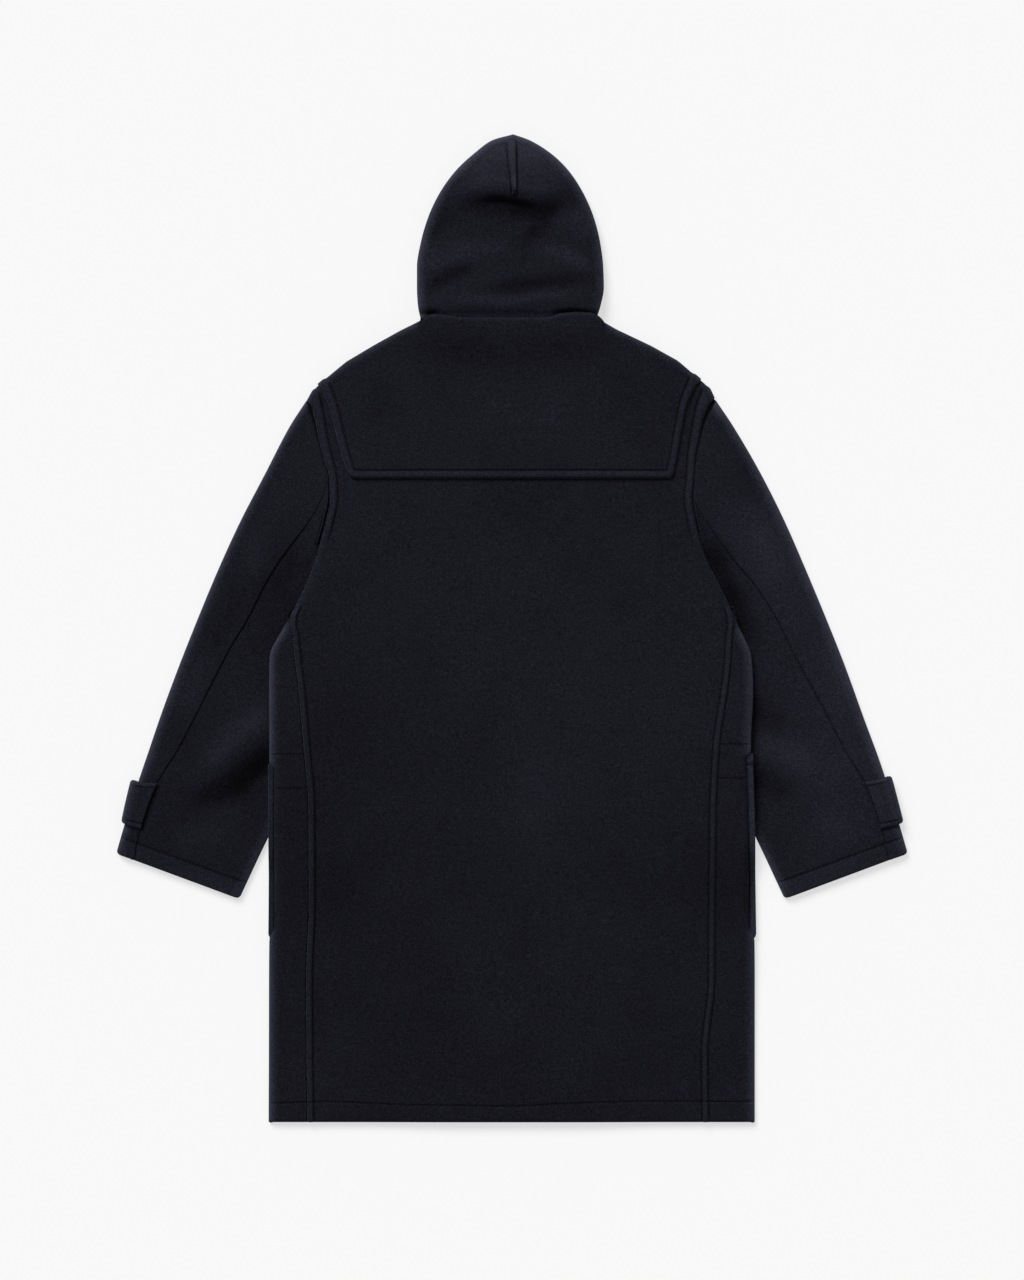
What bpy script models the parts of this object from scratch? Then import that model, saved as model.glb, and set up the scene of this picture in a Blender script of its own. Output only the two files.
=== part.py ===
"""Duffle coat of heavy melton, laid out face down with its back up.

Left and right are the wearer's. X runs to the wearer's right, Y towards the hood, Z up from the floor.
All sizes below are in millimetres; the mesh is written in metres.
"""
import math
from collections import namedtuple

import bpy
import numpy as np

MM = 0.001

# ---- cloth -------------------------------------------------------------------------------------
CLOTH = 3.0                         # thickness of one wall of melton
SEAM = 0.3                          # gap between two pieces
HOLLOW = 3.0                        # space left between the two walls of a flat tube
STACK = 2 * CLOTH + HOLLOW          # height of a flat tube
FOLD_RADIUS = STACK / 2
LAYER = CLOTH + SEAM                # what one more layer of cloth raises the ones above it
FOLD_STEPS = 5                      # facets round a folded edge

# ---- body --------------------------------------------------------------------------------------
HEM_Y = -617.3
YOKE_HEM_Y = 186.2
ARMHOLE_TOP_Y = 284.0
NECK_Y = 384.0
SIDE_SEAM_TOP_Y = 8.0
UNDERARM_Y = {-1: 104.0, 1: 118.0}  # below this the body lies over the sleeve
ARMHOLE_GAP = 1.6                   # the sleeve's head is set in this far from the body's edge
FRONT_LAP = 35.0                    # each front passes the centre line by this much

# half widths of the laid body: its edge, and the side seam that shows on the back
BodyRow = namedtuple("BodyRow", "y edge_left edge_right seam_left seam_right")
BODY = [
    BodyRow(HEM_Y, 304.3, 303.5, 255.6, 246.4),
    BodyRow(-530.0, 304.0, 303.5, 256.7, 245.4),
    BodyRow(-440.0, 303.8, 303.5, 257.2, 253.9),
    BodyRow(-345.0, 302.8, 302.4, 253.7, 254.2),
    BodyRow(-230.0, 302.5, 300.5, 253.5, 255.0),
    BodyRow(-145.0, 302.5, 298.0, 260.0, 259.4),
    BodyRow(-76.0, 303.0, 301.0, 266.3, 269.5),
    BodyRow(-37.0, 302.5, 299.0, 271.0, 274.0),
    BodyRow(0.0, 285.5, 284.0, 274.0, 275.5),
    BodyRow(26.0, 271.5, 272.5, 268.0, 269.0),
    BodyRow(54.0, 257.5, 259.0, 253.5, 255.0),
    BodyRow(85.0, 245.5, 243.5, 241.5, 239.5),
    BodyRow(104.0, 240.0, 236.0, 236.0, 232.0),
    BodyRow(136.0, 231.5, 228.8, 227.5, 224.8),
    BodyRow(160.0, 227.0, 225.0, 223.0, 221.0),
    BodyRow(187.8, 228.0, 227.5, 224.0, 223.0),
    BodyRow(212.0, 235.0, 230.0, 231.0, 226.0),
    BodyRow(236.0, 242.0, 235.5, 238.0, 231.0),
    BodyRow(260.0, 248.5, 242.5, 244.0, 238.0),
    BodyRow(284.0, 257.0, 254.5, 253.0, 250.0),
]

# ---- rows across the body, shared by every panel ------------------------------------------------
POCKET_FOOT_Y = -390.0
POCKET_TOP_Y = -171.0
FLAP_TOP_Y = -157.0
FLAP_FOOT_Y = -215.0
LOWER_ROWS = [HEM_Y, -565.0, -510.0, -450.0, POCKET_FOOT_Y, -365.0, -338.0, -312.0, -290.0, -250.0,
              FLAP_FOOT_Y, POCKET_TOP_Y, FLAP_TOP_Y, -115.0, -75.0, -37.0, -14.0, SIDE_SEAM_TOP_Y,
              26.0, 54.0, 85.0, UNDERARM_Y[-1], UNDERARM_Y[1], 136.0, 160.0, YOKE_HEM_Y]
HEAD_ROWS = [YOKE_HEM_Y, 212.0, 236.0, 260.0, ARMHOLE_TOP_Y]      # armhole heights above the yoke hem

# lines that run up the body: x where they cross the yoke's hem, and where they end at the shoulder
Line = namedtuple("Line", "x_hem x_top y_top")
SHOULDER_LINES = [
    Line(202.0, 241.0, 305.0),
    Line(176.0, 207.5, 332.8),
    Line(147.0, 173.8, 352.8),
    Line(120.0, 140.0, 371.5),
    Line(100.0, 116.0, NECK_Y),
]
BACK_NECK_LINES = [Line(62.0, 71.0, 386.6), Line(21.0, 24.0, 386.9)]
FRONT_NECK_LINES = [Line(62.0, 71.0, 350.2), Line(21.0, 24.0, 315.0), Line(-FRONT_LAP, -FRONT_LAP, 311.0)]
YOKE_FRONT_ROW = 2                  # the yoke's front reaches down to this one of HEAD_ROWS

# ---- sleeve ------------------------------------------------------------------------------------
OuterRow = namedtuple("OuterRow", "y left right")
SLEEVE_OUTER = [
    OuterRow(284.0, 257.3, 255.4), OuterRow(252.8, 277.5, 276.3), OuterRow(192.8, 308.8, 311.3),
    OuterRow(132.8, 340.0, 341.3), OuterRow(72.8, 367.5, 367.5), OuterRow(12.8, 392.5, 392.5),
    OuterRow(-47.2, 416.3, 416.3), OuterRow(-107.2, 438.5, 438.0), OuterRow(-167.2, 458.8, 460.0),
    OuterRow(-228.0, 479.0, 479.0), OuterRow(-282.2, 495.0, 495.0),
]
SLEEVE_SEAM = [
    OuterRow(187.8, 228.3, 212.0), OuterRow(160.0, 238.0, 226.2), OuterRow(137.0, 251.0, 240.0),
    OuterRow(85.0, 290.0, 277.5), OuterRow(52.0, 310.0, 305.0), OuterRow(10.0, 331.0, 332.0),
    OuterRow(-21.0, 350.0, 347.0), OuterRow(-61.0, 371.0, 368.0), OuterRow(-101.0, 391.0, 390.0),
    OuterRow(-152.0, 417.5, 416.0), OuterRow(-195.0, 444.0, 442.0), OuterRow(-225.0, 456.0, 454.0),
    OuterRow(-267.0, 468.0, 466.0), OuterRow(-290.0, 472.0, 471.0),
]
# rows across the sleeve, from the armhole to the cuff
Station = namedtuple("Station", "outer_y seam_y inner_x inner_y")
SLEEVE = [
    Station(284.0, 175.0, 200.0, 48.0),
    Station(210.0, 122.0, 215.0, 0.0),
    Station(122.0, 60.0, 230.0, -48.0),
    Station(40.0, -3.0, 245.5, -96.0),
    Station(-35.0, -61.0, 261.0, -144.0),
    Station(-104.0, -122.0, 277.0, -191.0),
    Station(-167.0, -178.0, 294.5, -239.0),
    Station(-228.0, -235.0, 317.0, -287.0),
    Station(-282.0, -290.0, 341.0, -338.5),
]
STRAP_ROWS = (6.42, 7.24)           # the cuff strap's edges, counted in stations
SLEEVE_ROWS = [0.0, 0.3, 0.65, 1.0, 1.5, 2.0, 2.6, 3.2, 3.8, 4.4, 5.0, 5.6, 6.0, STRAP_ROWS[0], 6.84,
               STRAP_ROWS[1], 7.65, 8.0]
# heights where the sleeve's lines leave the armhole; the last two run in under the body
SLEEVE_HEAD = [284.0, 260.0, 236.0, 212.0, YOKE_HEM_Y, 160.0, 136.0, 118.0, 104.0, 74.0, 48.0]
SEAM_LINE = {-1: 4, 1: 5}           # which of those lines is the sleeve's back seam
HEAD_FADE = 5.0                     # stations over which the armhole's curve fades out of the rows
NEAR_FOLD = 1.0                     # a line that runs nearer than this to the folded edge
DRAWN_BACK = 0.4                    # is drawn back to this share of the way to it
STRAP_MARGIN = 0.2                  # stations, then a slope, round the strap underneath
STRAP_RAMP = 0.7
STRAP_LINE_MARGIN = 0.5             # lines across, then a slope
STRAP_LINE_RAMP = 3.5

# ---- hood --------------------------------------------------------------------------------------
# distances from the middle seam: outline from the neck to the crown, and the face opening underneath
HoodRay = namedtuple("HoodRay", "x_left x_right y spine_y return_x return_y")
HOOD = [
    HoodRay(115.3, 103.5, 389.5, 387.6, 44.0, 332.5),
    HoodRay(119.0, 109.2, 403.0, 402.5, 50.0, 352.0),
    HoodRay(120.3, 113.3, 426.0, 424.0, 55.0, 390.0),
    HoodRay(120.3, 112.5, 452.0, 446.0, 58.0, 430.0),
    HoodRay(115.3, 108.5, 483.0, 468.0, 59.0, 468.0),
    HoodRay(106.5, 100.8, 513.0, 488.0, 57.0, 500.0),
    HoodRay(93.0, 88.5, 542.0, 505.0, 51.0, 524.0),
    HoodRay(71.5, 69.0, 572.0, 519.0, 40.0, 545.0),
    HoodRay(49.0, 47.3, 593.0, 530.0, 26.0, 558.0),
    HoodRay(25.5, 20.0, 609.8, 539.0, 12.0, 564.0),
    HoodRay(0.0, 0.0, 617.0, 546.0, 0.0, 566.0),
]
HOOD_SEAM_X = 1.5
HOOD_ACROSS = 7                     # cells from the middle seam to the outline
HOOD_RETURN = 4                     # cells from the outline to the face opening
BAND_WIDTH = 11.0
BAND_FOOT_Y = 541.0
BAND_TOP_Y = 610.0
BAND_ROWS = 8
BAND_NARROW = 0.4                   # share of its width that the band has at its foot
BAND_WIDENS = 60.0                  # length over which it comes to its full width
BAND_THICKNESS = 2.0
BAND_CLEAR = 0.25                   # more room under the band, over the hood's folds

# ---- closure underneath ---------------------------------------------------------------------------
TOGGLE_YS = [262.0, 122.0, -18.0, -158.0]
TOGGLE_LENGTH = 54.0
TOGGLE_RADIUS = 4.0
CORD_RADIUS = 1.25
PATCH_THICKNESS = 1.5
PATCH_FROM, PATCH_TO = 38.0, 66.0   # distances of a leather patch from the centre line
PATCH_HALF = 15.0
PATCH_CUT = 5.0                     # the patch's corners are cut off this far
CORD_INSET = 5.0                    # a cord ends this far inside the patch's outer edge
LANE_HALF = 84.0                    # half width of the part of the fronts that the toggles raise
LANE_ENDS = (-225.0, 345.0)
LANE_RAMP = 100.0
UNDER_TOGGLE = 0.2                  # height of a toggle off the floor
LANE_HEIGHT = 2 * TOGGLE_RADIUS + 2 * CORD_RADIUS + UNDER_TOGGLE + 2 * SEAM
# half of each cord's way, from its patch to its turn: distance from the centre, half spread, height
CordPoint = namedtuple("CordPoint", "away spread height")
CORD_SPREAD = 1.7
LOOP_SPREAD = 5.5
CORD_DIPS = 0.4                     # the toggle's cord starts to come down at its second point
CORD_FALL = [CordPoint(14.0, CORD_SPREAD, 6.6), CordPoint(8.0, CORD_SPREAD, 5.2),
             CordPoint(TOGGLE_RADIUS + CORD_RADIUS, 1.1, 4.4)]
CORD_BEND_AWAY = 22.0
CORD_TURN = CordPoint(TOGGLE_RADIUS + CORD_RADIUS - 0.2, 0.0, 4.2)
LOOP_FOLD_AWAY = 8.0                # past the patch's inner edge
LOOP_OVER_LAP = 1.5                 # past the edge of the front
LOOP_ENDS = [(10.0, LOOP_SPREAD), (-6.0, LOOP_SPREAD), (-10.5, 3.6)]
LOOP_TURN = (-12.2, 0.0)
ToggleRing = namedtuple("ToggleRing", "share radius")
TOGGLE = [
    ToggleRing(0.0, 0.40), ToggleRing(0.05, 0.72), ToggleRing(0.24, 0.97), ToggleRing(0.42, 0.94),
    ToggleRing(0.50, 0.80), ToggleRing(0.58, 0.94), ToggleRing(0.76, 0.97), ToggleRing(0.95, 0.72),
    ToggleRing(1.0, 0.40),
]


# ================================================================================================
# curves and heights
# ================================================================================================
def curve(keys, values, at):
    """Smooth curve through a table, with no overshoot between its rows."""
    k = np.asarray(keys, float)
    v = np.asarray(values, float)
    if k[0] > k[-1]:
        k, v = k[::-1], v[::-1]
    step = np.diff(k)
    slope = np.diff(v) / step
    tangent = np.empty_like(v)
    tangent[0], tangent[-1] = slope[0], slope[-1]
    both = slope[:-1] * slope[1:]
    total = np.where(np.abs(slope[:-1] + slope[1:]) < 1e-9, 1.0, slope[:-1] + slope[1:])
    tangent[1:-1] = np.where(both > 0, 2 * both / total, 0.0)
    x = np.clip(np.asarray(at, float), k[0], k[-1])
    i = np.clip(np.searchsorted(k, x) - 1, 0, len(k) - 2)
    t = (x - k[i]) / step[i]
    h = step[i]
    return ((2 * t**3 - 3 * t**2 + 1) * v[i] + (t**3 - 2 * t**2 + t) * h * tangent[i]
            + (3 * t**2 - 2 * t**3) * v[i + 1] + (t**3 - t**2) * h * tangent[i + 1])


def column(table, name):
    return [getattr(row, name) for row in table]


def side_name(side):
    return "left" if side < 0 else "right"


def body_edge(side, y):
    return curve(column(BODY, "y"), column(BODY, "edge_" + side_name(side)), y)


def side_seam(side, y):
    return curve(column(BODY, "y"), column(BODY, "seam_" + side_name(side)), y)


def smoothstep(t):
    t = np.clip(t, 0.0, 1.0)
    return t * t * (3 - 2 * t)


def distance_outside(x, y, outline):
    """Distance from (x, y) to a closed outline, 0 inside it."""
    x = np.asarray(x, float)
    y = np.asarray(y, float)
    nearest = np.full(np.broadcast(x, y).shape, 1e9)
    inside = np.zeros(nearest.shape, bool)
    for (ax, ay), (bx, by) in zip(outline, outline[1:] + outline[:1]):
        dx, dy = bx - ax, by - ay
        t = np.clip(((x - ax) * dx + (y - ay) * dy) / (dx * dx + dy * dy), 0, 1)
        nearest = np.minimum(nearest, np.hypot(x - ax - t * dx, y - ay - t * dy))
        crosses = (ay > y) != (by > y)
        inside ^= crosses & (x < ax + (y - ay) * dx / (dy if dy else 1e-9))
    return np.where(inside, 0.0, nearest)


def ramp_up(x, y, outline, margin, ramp_x, ramp_y):
    """1 over an outline and its margin, then a soft slope down to 0."""
    shrink = ramp_y / ramp_x
    squeezed = [(px * shrink, py) for px, py in outline]
    distance = distance_outside(np.asarray(x) * shrink, y, squeezed)
    return smoothstep(1 - (distance - margin) / ramp_y)


# where a sleeve lies under the body, on the positive side
UNDER_SLEEVE = [(229.0, 122.0), (200.0, 51.0), (215.0, 0.0), (245.5, -96.0), (277.0, -191.0),
                (303.0, -256.0), (420.0, -256.0), (420.0, 122.0)]
SLEEVE_MARGIN = 13.0
SLEEVE_RAMP_X = 95.0
SLEEVE_RAMP_Y = 44.0

POCKET_WIDTH = 176.0
POCKET_REACH = 20.0                 # the raised part runs on this far past the side fold
POCKET_STANDS_OUT = 2.2             # the pocket's edge shows past the body's fold
FLAP_STANDS_OUT = 3.4
PATCH_MARGIN = 18.0
PATCH_RAMP = 40.0
YOKE_MARGIN = 2.0
YOKE_RAMP = 24.0
LAP_LANE = 84.0                     # half width of the part raised by the lapped fronts
LAP_RAMP = 36.0
LAP_TOP_Y = 370.0
PAST_HEM = 100.0                    # the lapped part runs on this far below the hem


def yoke_front_outline():
    """The part of the front that the yoke covers underneath, on the positive side."""
    outer, inner = SHOULDER_LINES[0], SHOULDER_LINES[-1]
    foot = (HEAD_ROWS[YOKE_FRONT_ROW] - YOKE_HEM_Y) / (ARMHOLE_TOP_Y - YOKE_HEM_Y)
    return [
        (outer.x_hem + (outer.x_top - outer.x_hem) * foot, YOKE_HEM_Y + (outer.y_top - YOKE_HEM_Y) * foot),
        (outer.x_top, outer.y_top),
        (inner.x_top, inner.y_top),
        (inner.x_hem + (inner.x_top - inner.x_hem) * foot, YOKE_HEM_Y + (inner.y_top - YOKE_HEM_Y) * foot),
    ]


def pocket_outline(side, foot, top):
    """What a pocket or its flap covers between two heights, and on past the side fold."""
    edge = float(body_edge(side, (foot + top) / 2))
    inner, outer = edge - POCKET_WIDTH, edge + POCKET_REACH
    return [(inner, foot), (outer, foot), (outer, top), (inner, top)]


def sleeve_lift(x, y):
    away = np.abs(x)
    return (STACK + SEAM) * ramp_up(away, y, UNDER_SLEEVE, SLEEVE_MARGIN, SLEEVE_RAMP_X, SLEEVE_RAMP_Y)


def patch_lift(x, y):
    """What the pockets, their flaps and the yoke's front raise above the floor."""
    x = np.asarray(x, float)
    height = np.zeros(np.broadcast(x, np.asarray(y)).shape)
    for side in (-1, 1):
        away = x * side
        for foot, top in ((POCKET_FOOT_Y, POCKET_TOP_Y), (FLAP_FOOT_Y, FLAP_TOP_Y)):
            outline = pocket_outline(side, foot, top)
            height = height + LAYER * ramp_up(away, y, outline, PATCH_MARGIN, PATCH_RAMP, PATCH_RAMP)
        height = height + LAYER * ramp_up(away, y, yoke_front_outline(), YOKE_MARGIN, YOKE_RAMP, YOKE_RAMP)
    return height


def lap_lift(x, y):
    """The left front lies under the right one at the centre."""
    low, high = HEM_Y - PAST_HEM, LAP_TOP_Y
    lane = [(-LAP_LANE, low), (LAP_LANE, low), (LAP_LANE, high), (-LAP_LANE, high)]
    return LAYER * ramp_up(x, y, lane, 0.0, LAP_RAMP, LAP_RAMP)


def closure_lift(x, y):
    """The toggles and their loops lie between the fronts and the floor."""
    low, high = LANE_ENDS
    lane = [(-LANE_HALF, low), (LANE_HALF, low), (LANE_HALF, high), (-LANE_HALF, high)]
    return LANE_HEIGHT * ramp_up(x, y, lane, 0.0, LANE_RAMP, LANE_RAMP)


def floor_of_fronts(x, y):
    return sleeve_lift(x, y) + patch_lift(x, y) + closure_lift(x, y)


# ================================================================================================
# walls of cloth
# ================================================================================================
def surface_normals(points, towards):
    """Unit normals of a grid of points, turned to the outer side of the first cell that is kept."""
    along = np.gradient(points, axis=0)
    across = np.gradient(points, axis=1)
    normal = np.cross(along, across)
    normal /= np.maximum(np.linalg.norm(normal, axis=2, keepdims=True), 1e-9)
    return normal * towards


def remove_everything():
    for thing in list(bpy.data.objects):
        bpy.data.objects.remove(thing, do_unlink=True)


def material(name, color, roughness):
    made = bpy.data.materials.new(name)
    made.use_nodes = True
    shader = made.node_tree.nodes["Principled BSDF"]
    shader.inputs["Base Color"].default_value = (*color, 1.0)
    shader.inputs["Roughness"].default_value = roughness
    shader.inputs["Metallic"].default_value = 0.0
    return made


def add_object(name, vertices, faces, look):
    mesh = bpy.data.meshes.new(name)
    mesh.from_pydata([tuple(v) for v in np.asarray(vertices) * MM], [], faces)
    mesh.update()
    mesh.materials.append(look)
    mesh.shade_smooth()
    mesh.set_sharp_from_angle(angle=math.radians(50))
    made = bpy.data.objects.new(name, mesh)
    bpy.context.scene.collection.objects.link(made)
    return made


def split_cell(ring, vertices, count):
    """Two triangles, cut along the diagonal that stands further out, so that layers stay parallel."""
    a, b, c, d = (vertices[n] for n in ring)
    outward = a - vertices[ring[0] + count]
    if np.dot((a + c) - (b + d), outward) >= 0:
        return (ring[0], ring[1], ring[2]), (ring[0], ring[2], ring[3])
    return (ring[1], ring[2], ring[3]), (ring[1], ring[3], ring[0])


def cell_volume(faces, vertices):
    """Six times the volume that the faces close in, negative where they point inwards."""
    total = 0.0
    for face in faces:
        for k in range(1, len(face) - 1):
            a, b, c = vertices[face[0]], vertices[face[k]], vertices[face[k + 1]]
            total += float(np.dot(a, np.cross(b, c)))
    return total


def without_x(normals):
    """The same normals with no lean across the body."""
    upright = normals.copy()
    upright[..., 0] = 0.0
    return upright / np.linalg.norm(upright, axis=-1, keepdims=True)


def wall(name, outer, inner, look, keep=None):
    """Closed solid between two grids of points; keep says which cells are cloth."""
    rows, columns = outer.shape[:2]
    if keep is None:
        keep = np.ones((rows - 1, columns - 1), bool)
    used = np.zeros((rows, columns), bool)
    for i, j in zip(*np.nonzero(keep)):
        used[i:i + 2, j:j + 2] = True
    number = -np.ones((rows, columns), int)
    number[used] = np.arange(used.sum())
    count = int(used.sum())
    vertices = np.concatenate([outer[used], inner[used]])
    faces = []
    edges = {}
    for i, j in zip(*np.nonzero(keep)):
        ring = [int(number[i, j]), int(number[i + 1, j]), int(number[i + 1, j + 1]), int(number[i, j + 1])]
        for a, b, c in split_cell(ring, vertices, count):
            faces.append([a, b, c])
            faces.append([c + count, b + count, a + count])
        for a, b in zip(ring, ring[1:] + ring[:1]):
            if (b, a) in edges:
                del edges[(b, a)]
            else:
                edges[(a, b)] = True
    for a, b in edges:
        faces.append([b, a, a + count, b + count])
    if cell_volume(faces, vertices) < 0:
        faces = [face[::-1] for face in faces]
    return add_object(name, vertices, faces, look)


class Panel:
    """Outer points of a wall of cloth and its outward normals, on which other pieces can be laid."""

    def __init__(self, points, towards=1.0, normals=None):
        self.points = np.asarray(points, float)
        self.normals = surface_normals(self.points, towards) if normals is None else normals

    def build(self, name, look, keep=None, relief=0.0):
        outer = self.points + self.normals * np.broadcast_to(relief, self.points.shape[:2])[..., None]
        return wall(name, outer, self.points - self.normals * CLOTH, look, keep)

    def lay_on(self, name, look, rows, columns, layer=0, thickness=CLOTH, keep=None):
        """A piece made from this one's points, moved out over so many layers below it."""
        points = self.points[rows][:, columns]
        normals = self.normals[rows][:, columns]
        inner = points + normals * (layer * LAYER + SEAM)
        return wall(name, inner + normals * thickness, inner, look, keep)


def plan(x, y, z):
    """Grid of points from three arrays."""
    return np.stack(np.broadcast_arrays(np.asarray(x, float), y, z), axis=-1)


# ================================================================================================
# body
# ================================================================================================
def shoulder_out():
    """Unit vector in plan from the shoulder line outwards, on the positive side."""
    neck = SHOULDER_LINES[-1]
    run_x, run_y = float(body_edge(1, ARMHOLE_TOP_Y)) - neck.x_top, neck.y_top - ARMHOLE_TOP_Y
    length = math.hypot(run_x, run_y)
    return run_y / length, run_x / length


def line_at_head(side, line, share):
    """Point of a line above the yoke hem; share runs from 0 at the hem to 1 at its top."""
    x = line.x_hem + (line.x_top - line.x_hem) * share
    return side * x, YOKE_HEM_Y + (line.y_top - YOKE_HEM_Y) * share


def back_boundary(side, y):
    """The back ends at the side seam, and at the armhole above it."""
    if y > SIDE_SEAM_TOP_Y:
        return float(body_edge(side, y))
    return float(side_seam(side, y)) - SEAM / 2


TURN = [math.radians(a) for a in (60.0, 30.0, 3.0)]      # how the shoulder's edge turns down


def body_columns(side, lines, boundary):
    """Plan points of one half, from the armhole or fold inwards, for every row."""
    edge_hem = float(body_edge(side, YOKE_HEM_Y))
    out_x, out_y = shoulder_out()
    columns = []
    for index, line in enumerate([None] + lines):
        points = []
        for y in LOWER_ROWS:
            scale = boundary(side, y) / edge_hem
            x = boundary(side, y) if line is None else line.x_hem * (scale if line.x_hem > 0 else 1.0)
            points.append((side * x, y, 0.0))
        top = (line.x_top, line.y_top) if line else (float(body_edge(side, ARMHOLE_TOP_Y)), ARMHOLE_TOP_Y)
        for y in HEAD_ROWS[1:]:
            share = (y - YOKE_HEM_Y) / (ARMHOLE_TOP_Y - YOKE_HEM_Y)
            if line is None:
                at = (side * float(body_edge(side, y)), y)
            else:
                at = line_at_head(side, line, share)
            if y == HEAD_ROWS[-1] and index <= len(SHOULDER_LINES):
                at = (side * (top[0] - FOLD_RADIUS * out_x), top[1] - FOLD_RADIUS * out_y)
            points.append((at[0], at[1], 0.0))
        for angle in TURN:
            reach = FOLD_RADIUS * (math.cos(angle) - 1)
            drop = FOLD_RADIUS * (math.sin(angle) - 1)
            points.append((side * (top[0] + reach * out_x), top[1] + reach * out_y, drop))
        columns.append(points)
    return np.array(columns).transpose(1, 0, 2)


def shoulder_keep(shape, spans):
    """Cells of a body panel; past the shoulder line only the shoulders turn down."""
    keep = np.ones(shape, bool)
    keep[-len(TURN):] = False
    for first, last in spans:
        keep[-len(TURN):, first:last] = True
    return keep


def set_edge_normals(normals, points, up):
    """Exact normals where the shoulder's edge turns down, and none leaning across at the armholes."""
    out_x, out_y = shoulder_out()
    first = len(LOWER_ROWS) - 1
    for column_index in (0, -1):
        normals[first:-len(TURN), column_index] = without_x(normals[first:-len(TURN), column_index])
    for k, angle in enumerate([math.pi / 2] + TURN):
        row = k - len(TURN) - 1
        for j in range(points.shape[1]):
            lean = math.cos(angle)
            normals[row, j] = (math.copysign(out_x, points[row, j, 0]) * lean, out_y * lean,
                               up * math.sin(angle))


def make_back(look):
    left = body_columns(-1, SHOULDER_LINES + BACK_NECK_LINES, back_boundary)
    right = body_columns(1, SHOULDER_LINES + BACK_NECK_LINES, back_boundary)[:, ::-1]
    grid = np.concatenate([left, right], axis=1)
    x, y, drop = grid[..., 0], grid[..., 1], grid[..., 2]
    z = floor_of_fronts(x, y) + lap_lift(x, y) + STACK + drop
    panel = Panel(plan(x, y, z), towards=-1.0)
    set_edge_normals(panel.normals, panel.points, 1.0)
    rows, columns = panel.points.shape[:2]
    shoulder = len(SHOULDER_LINES)
    keep = shoulder_keep((rows - 1, columns - 1), [(0, shoulder), (columns - 1 - shoulder, columns - 1)])
    panel.build("back", look, keep)
    return panel


STRIP_CELLS = 2                     # from the side seam to the side fold
FRONT_ROWS = [y if y != SIDE_SEAM_TOP_Y else y - SEAM for y in LOWER_ROWS]


def make_front(side, look):
    """One front: strip on the back's side, side fold, then the wide part underneath."""
    name = "front_" + side_name(side)
    under = body_columns(side, SHOULDER_LINES + FRONT_NECK_LINES, body_edge)
    under_floor = floor_of_fronts(under[..., 0], under[..., 1]) - under[..., 2]
    if side > 0:
        under_floor = under_floor + lap_lift(under[..., 0], under[..., 1])
    last_folded = LOWER_ROWS.index(SIDE_SEAM_TOP_Y)
    rows = []
    for i in range(under.shape[0]):
        row = [tuple(p) for p in np.column_stack([under[i, :, 0], under[i, :, 1], under_floor[i]])]
        y = under[i, 0, 1]
        edge = abs(under[i, 0, 0])
        floor = row[0][2]
        folded = i <= last_folded
        if folded:
            y = FRONT_ROWS[i]
            floor = float(floor_of_fronts(side * edge, y))
            row[0] = (side * (edge - FOLD_RADIUS), y, floor)
        seam = float(side_seam(side, y)) + SEAM / 2 if folded else edge
        turned = []
        for k in range(STRIP_CELLS):
            x = seam + (edge - FOLD_RADIUS - seam) * k / STRIP_CELLS
            height = float(floor_of_fronts(side * x, y)) if folded else floor
            turned.append((side * x, y, height + STACK))
        for k in range(FOLD_STEPS):
            angle = math.pi / 2 - math.pi * k / FOLD_STEPS
            x = edge + FOLD_RADIUS * (math.cos(angle) - 1)
            turned.append((side * x, y, floor + FOLD_RADIUS * (1 + math.sin(angle))))
        rows.append(turned + row)
    points = np.array(rows)
    first_under = STRIP_CELLS + FOLD_STEPS
    folded_part = Panel(points[:last_folded + 1], towards=-float(side))
    flat_part = Panel(points[:, first_under:], towards=-float(side))
    set_edge_normals(flat_part.normals, flat_part.points, -1.0)
    flat_part.normals[:, -1] = without_x(flat_part.normals[:, -1])
    normals = np.zeros_like(points)
    normals[..., 2] = -1.0
    normals[:last_folded + 1] = folded_part.normals
    normals[last_folded + 1:, first_under:] = flat_part.normals[last_folded + 1:]
    panel = Panel(points, normals=normals)
    keep = shoulder_keep((points.shape[0] - 1, points.shape[1] - 1),
                         [(first_under, first_under + len(SHOULDER_LINES))])
    keep[last_folded:, :first_under] = False
    panel.build(name, look, keep)
    panel.first_under = first_under
    return panel


def make_yoke(back, fronts, look):
    """One piece over the back, folded over both shoulders onto the fronts."""
    lines = len(SHOULDER_LINES)
    first = len(LOWER_ROWS) - 1
    columns = list(range(1, back.points.shape[1] - 1))
    points = list(back.points[first:-1][:, columns])
    normals = list(back.normals[first:-1][:, columns])
    under_rows = range(back.points.shape[0] - 1, first + YOKE_FRONT_ROW - 1, -1)
    middle = back.points.shape[1] - 2 - 2 * lines
    for i in under_rows:
        row_points = []
        row_normals = []
        for side, front in ((-1, fronts[-1]), (1, fronts[1])):
            picked = [front.first_under + k for k in range(1, lines + 1)]
            if side > 0:
                picked = picked[::-1]
                row_points += [row_points[-1]] * middle
                row_normals += [row_normals[-1]] * middle
            row_points += list(front.points[i, picked])
            row_normals += list(front.normals[i, picked])
        points.append(np.array(row_points))
        normals.append(np.array(row_normals))
    points = np.array(points)
    normals = np.array(normals)
    meet = back.points.shape[0] - 1 - first
    edge_points = back.points[-1][columns]
    points[meet] = (points[meet] + edge_points) / 2
    out_x, out_y = shoulder_out()
    for j, point in enumerate(points[meet]):
        normals[meet, j] = (math.copysign(out_x, point[0]), out_y, 0.0)
    keep = np.zeros((points.shape[0] - 1, points.shape[1] - 1), bool)
    keep[:len(HEAD_ROWS) - 1] = True
    keep[:, :lines - 1] = True
    keep[:, -(lines - 1):] = True
    Panel(points, normals=normals).lay_on("yoke", look, slice(None), slice(None), keep=keep)


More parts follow.
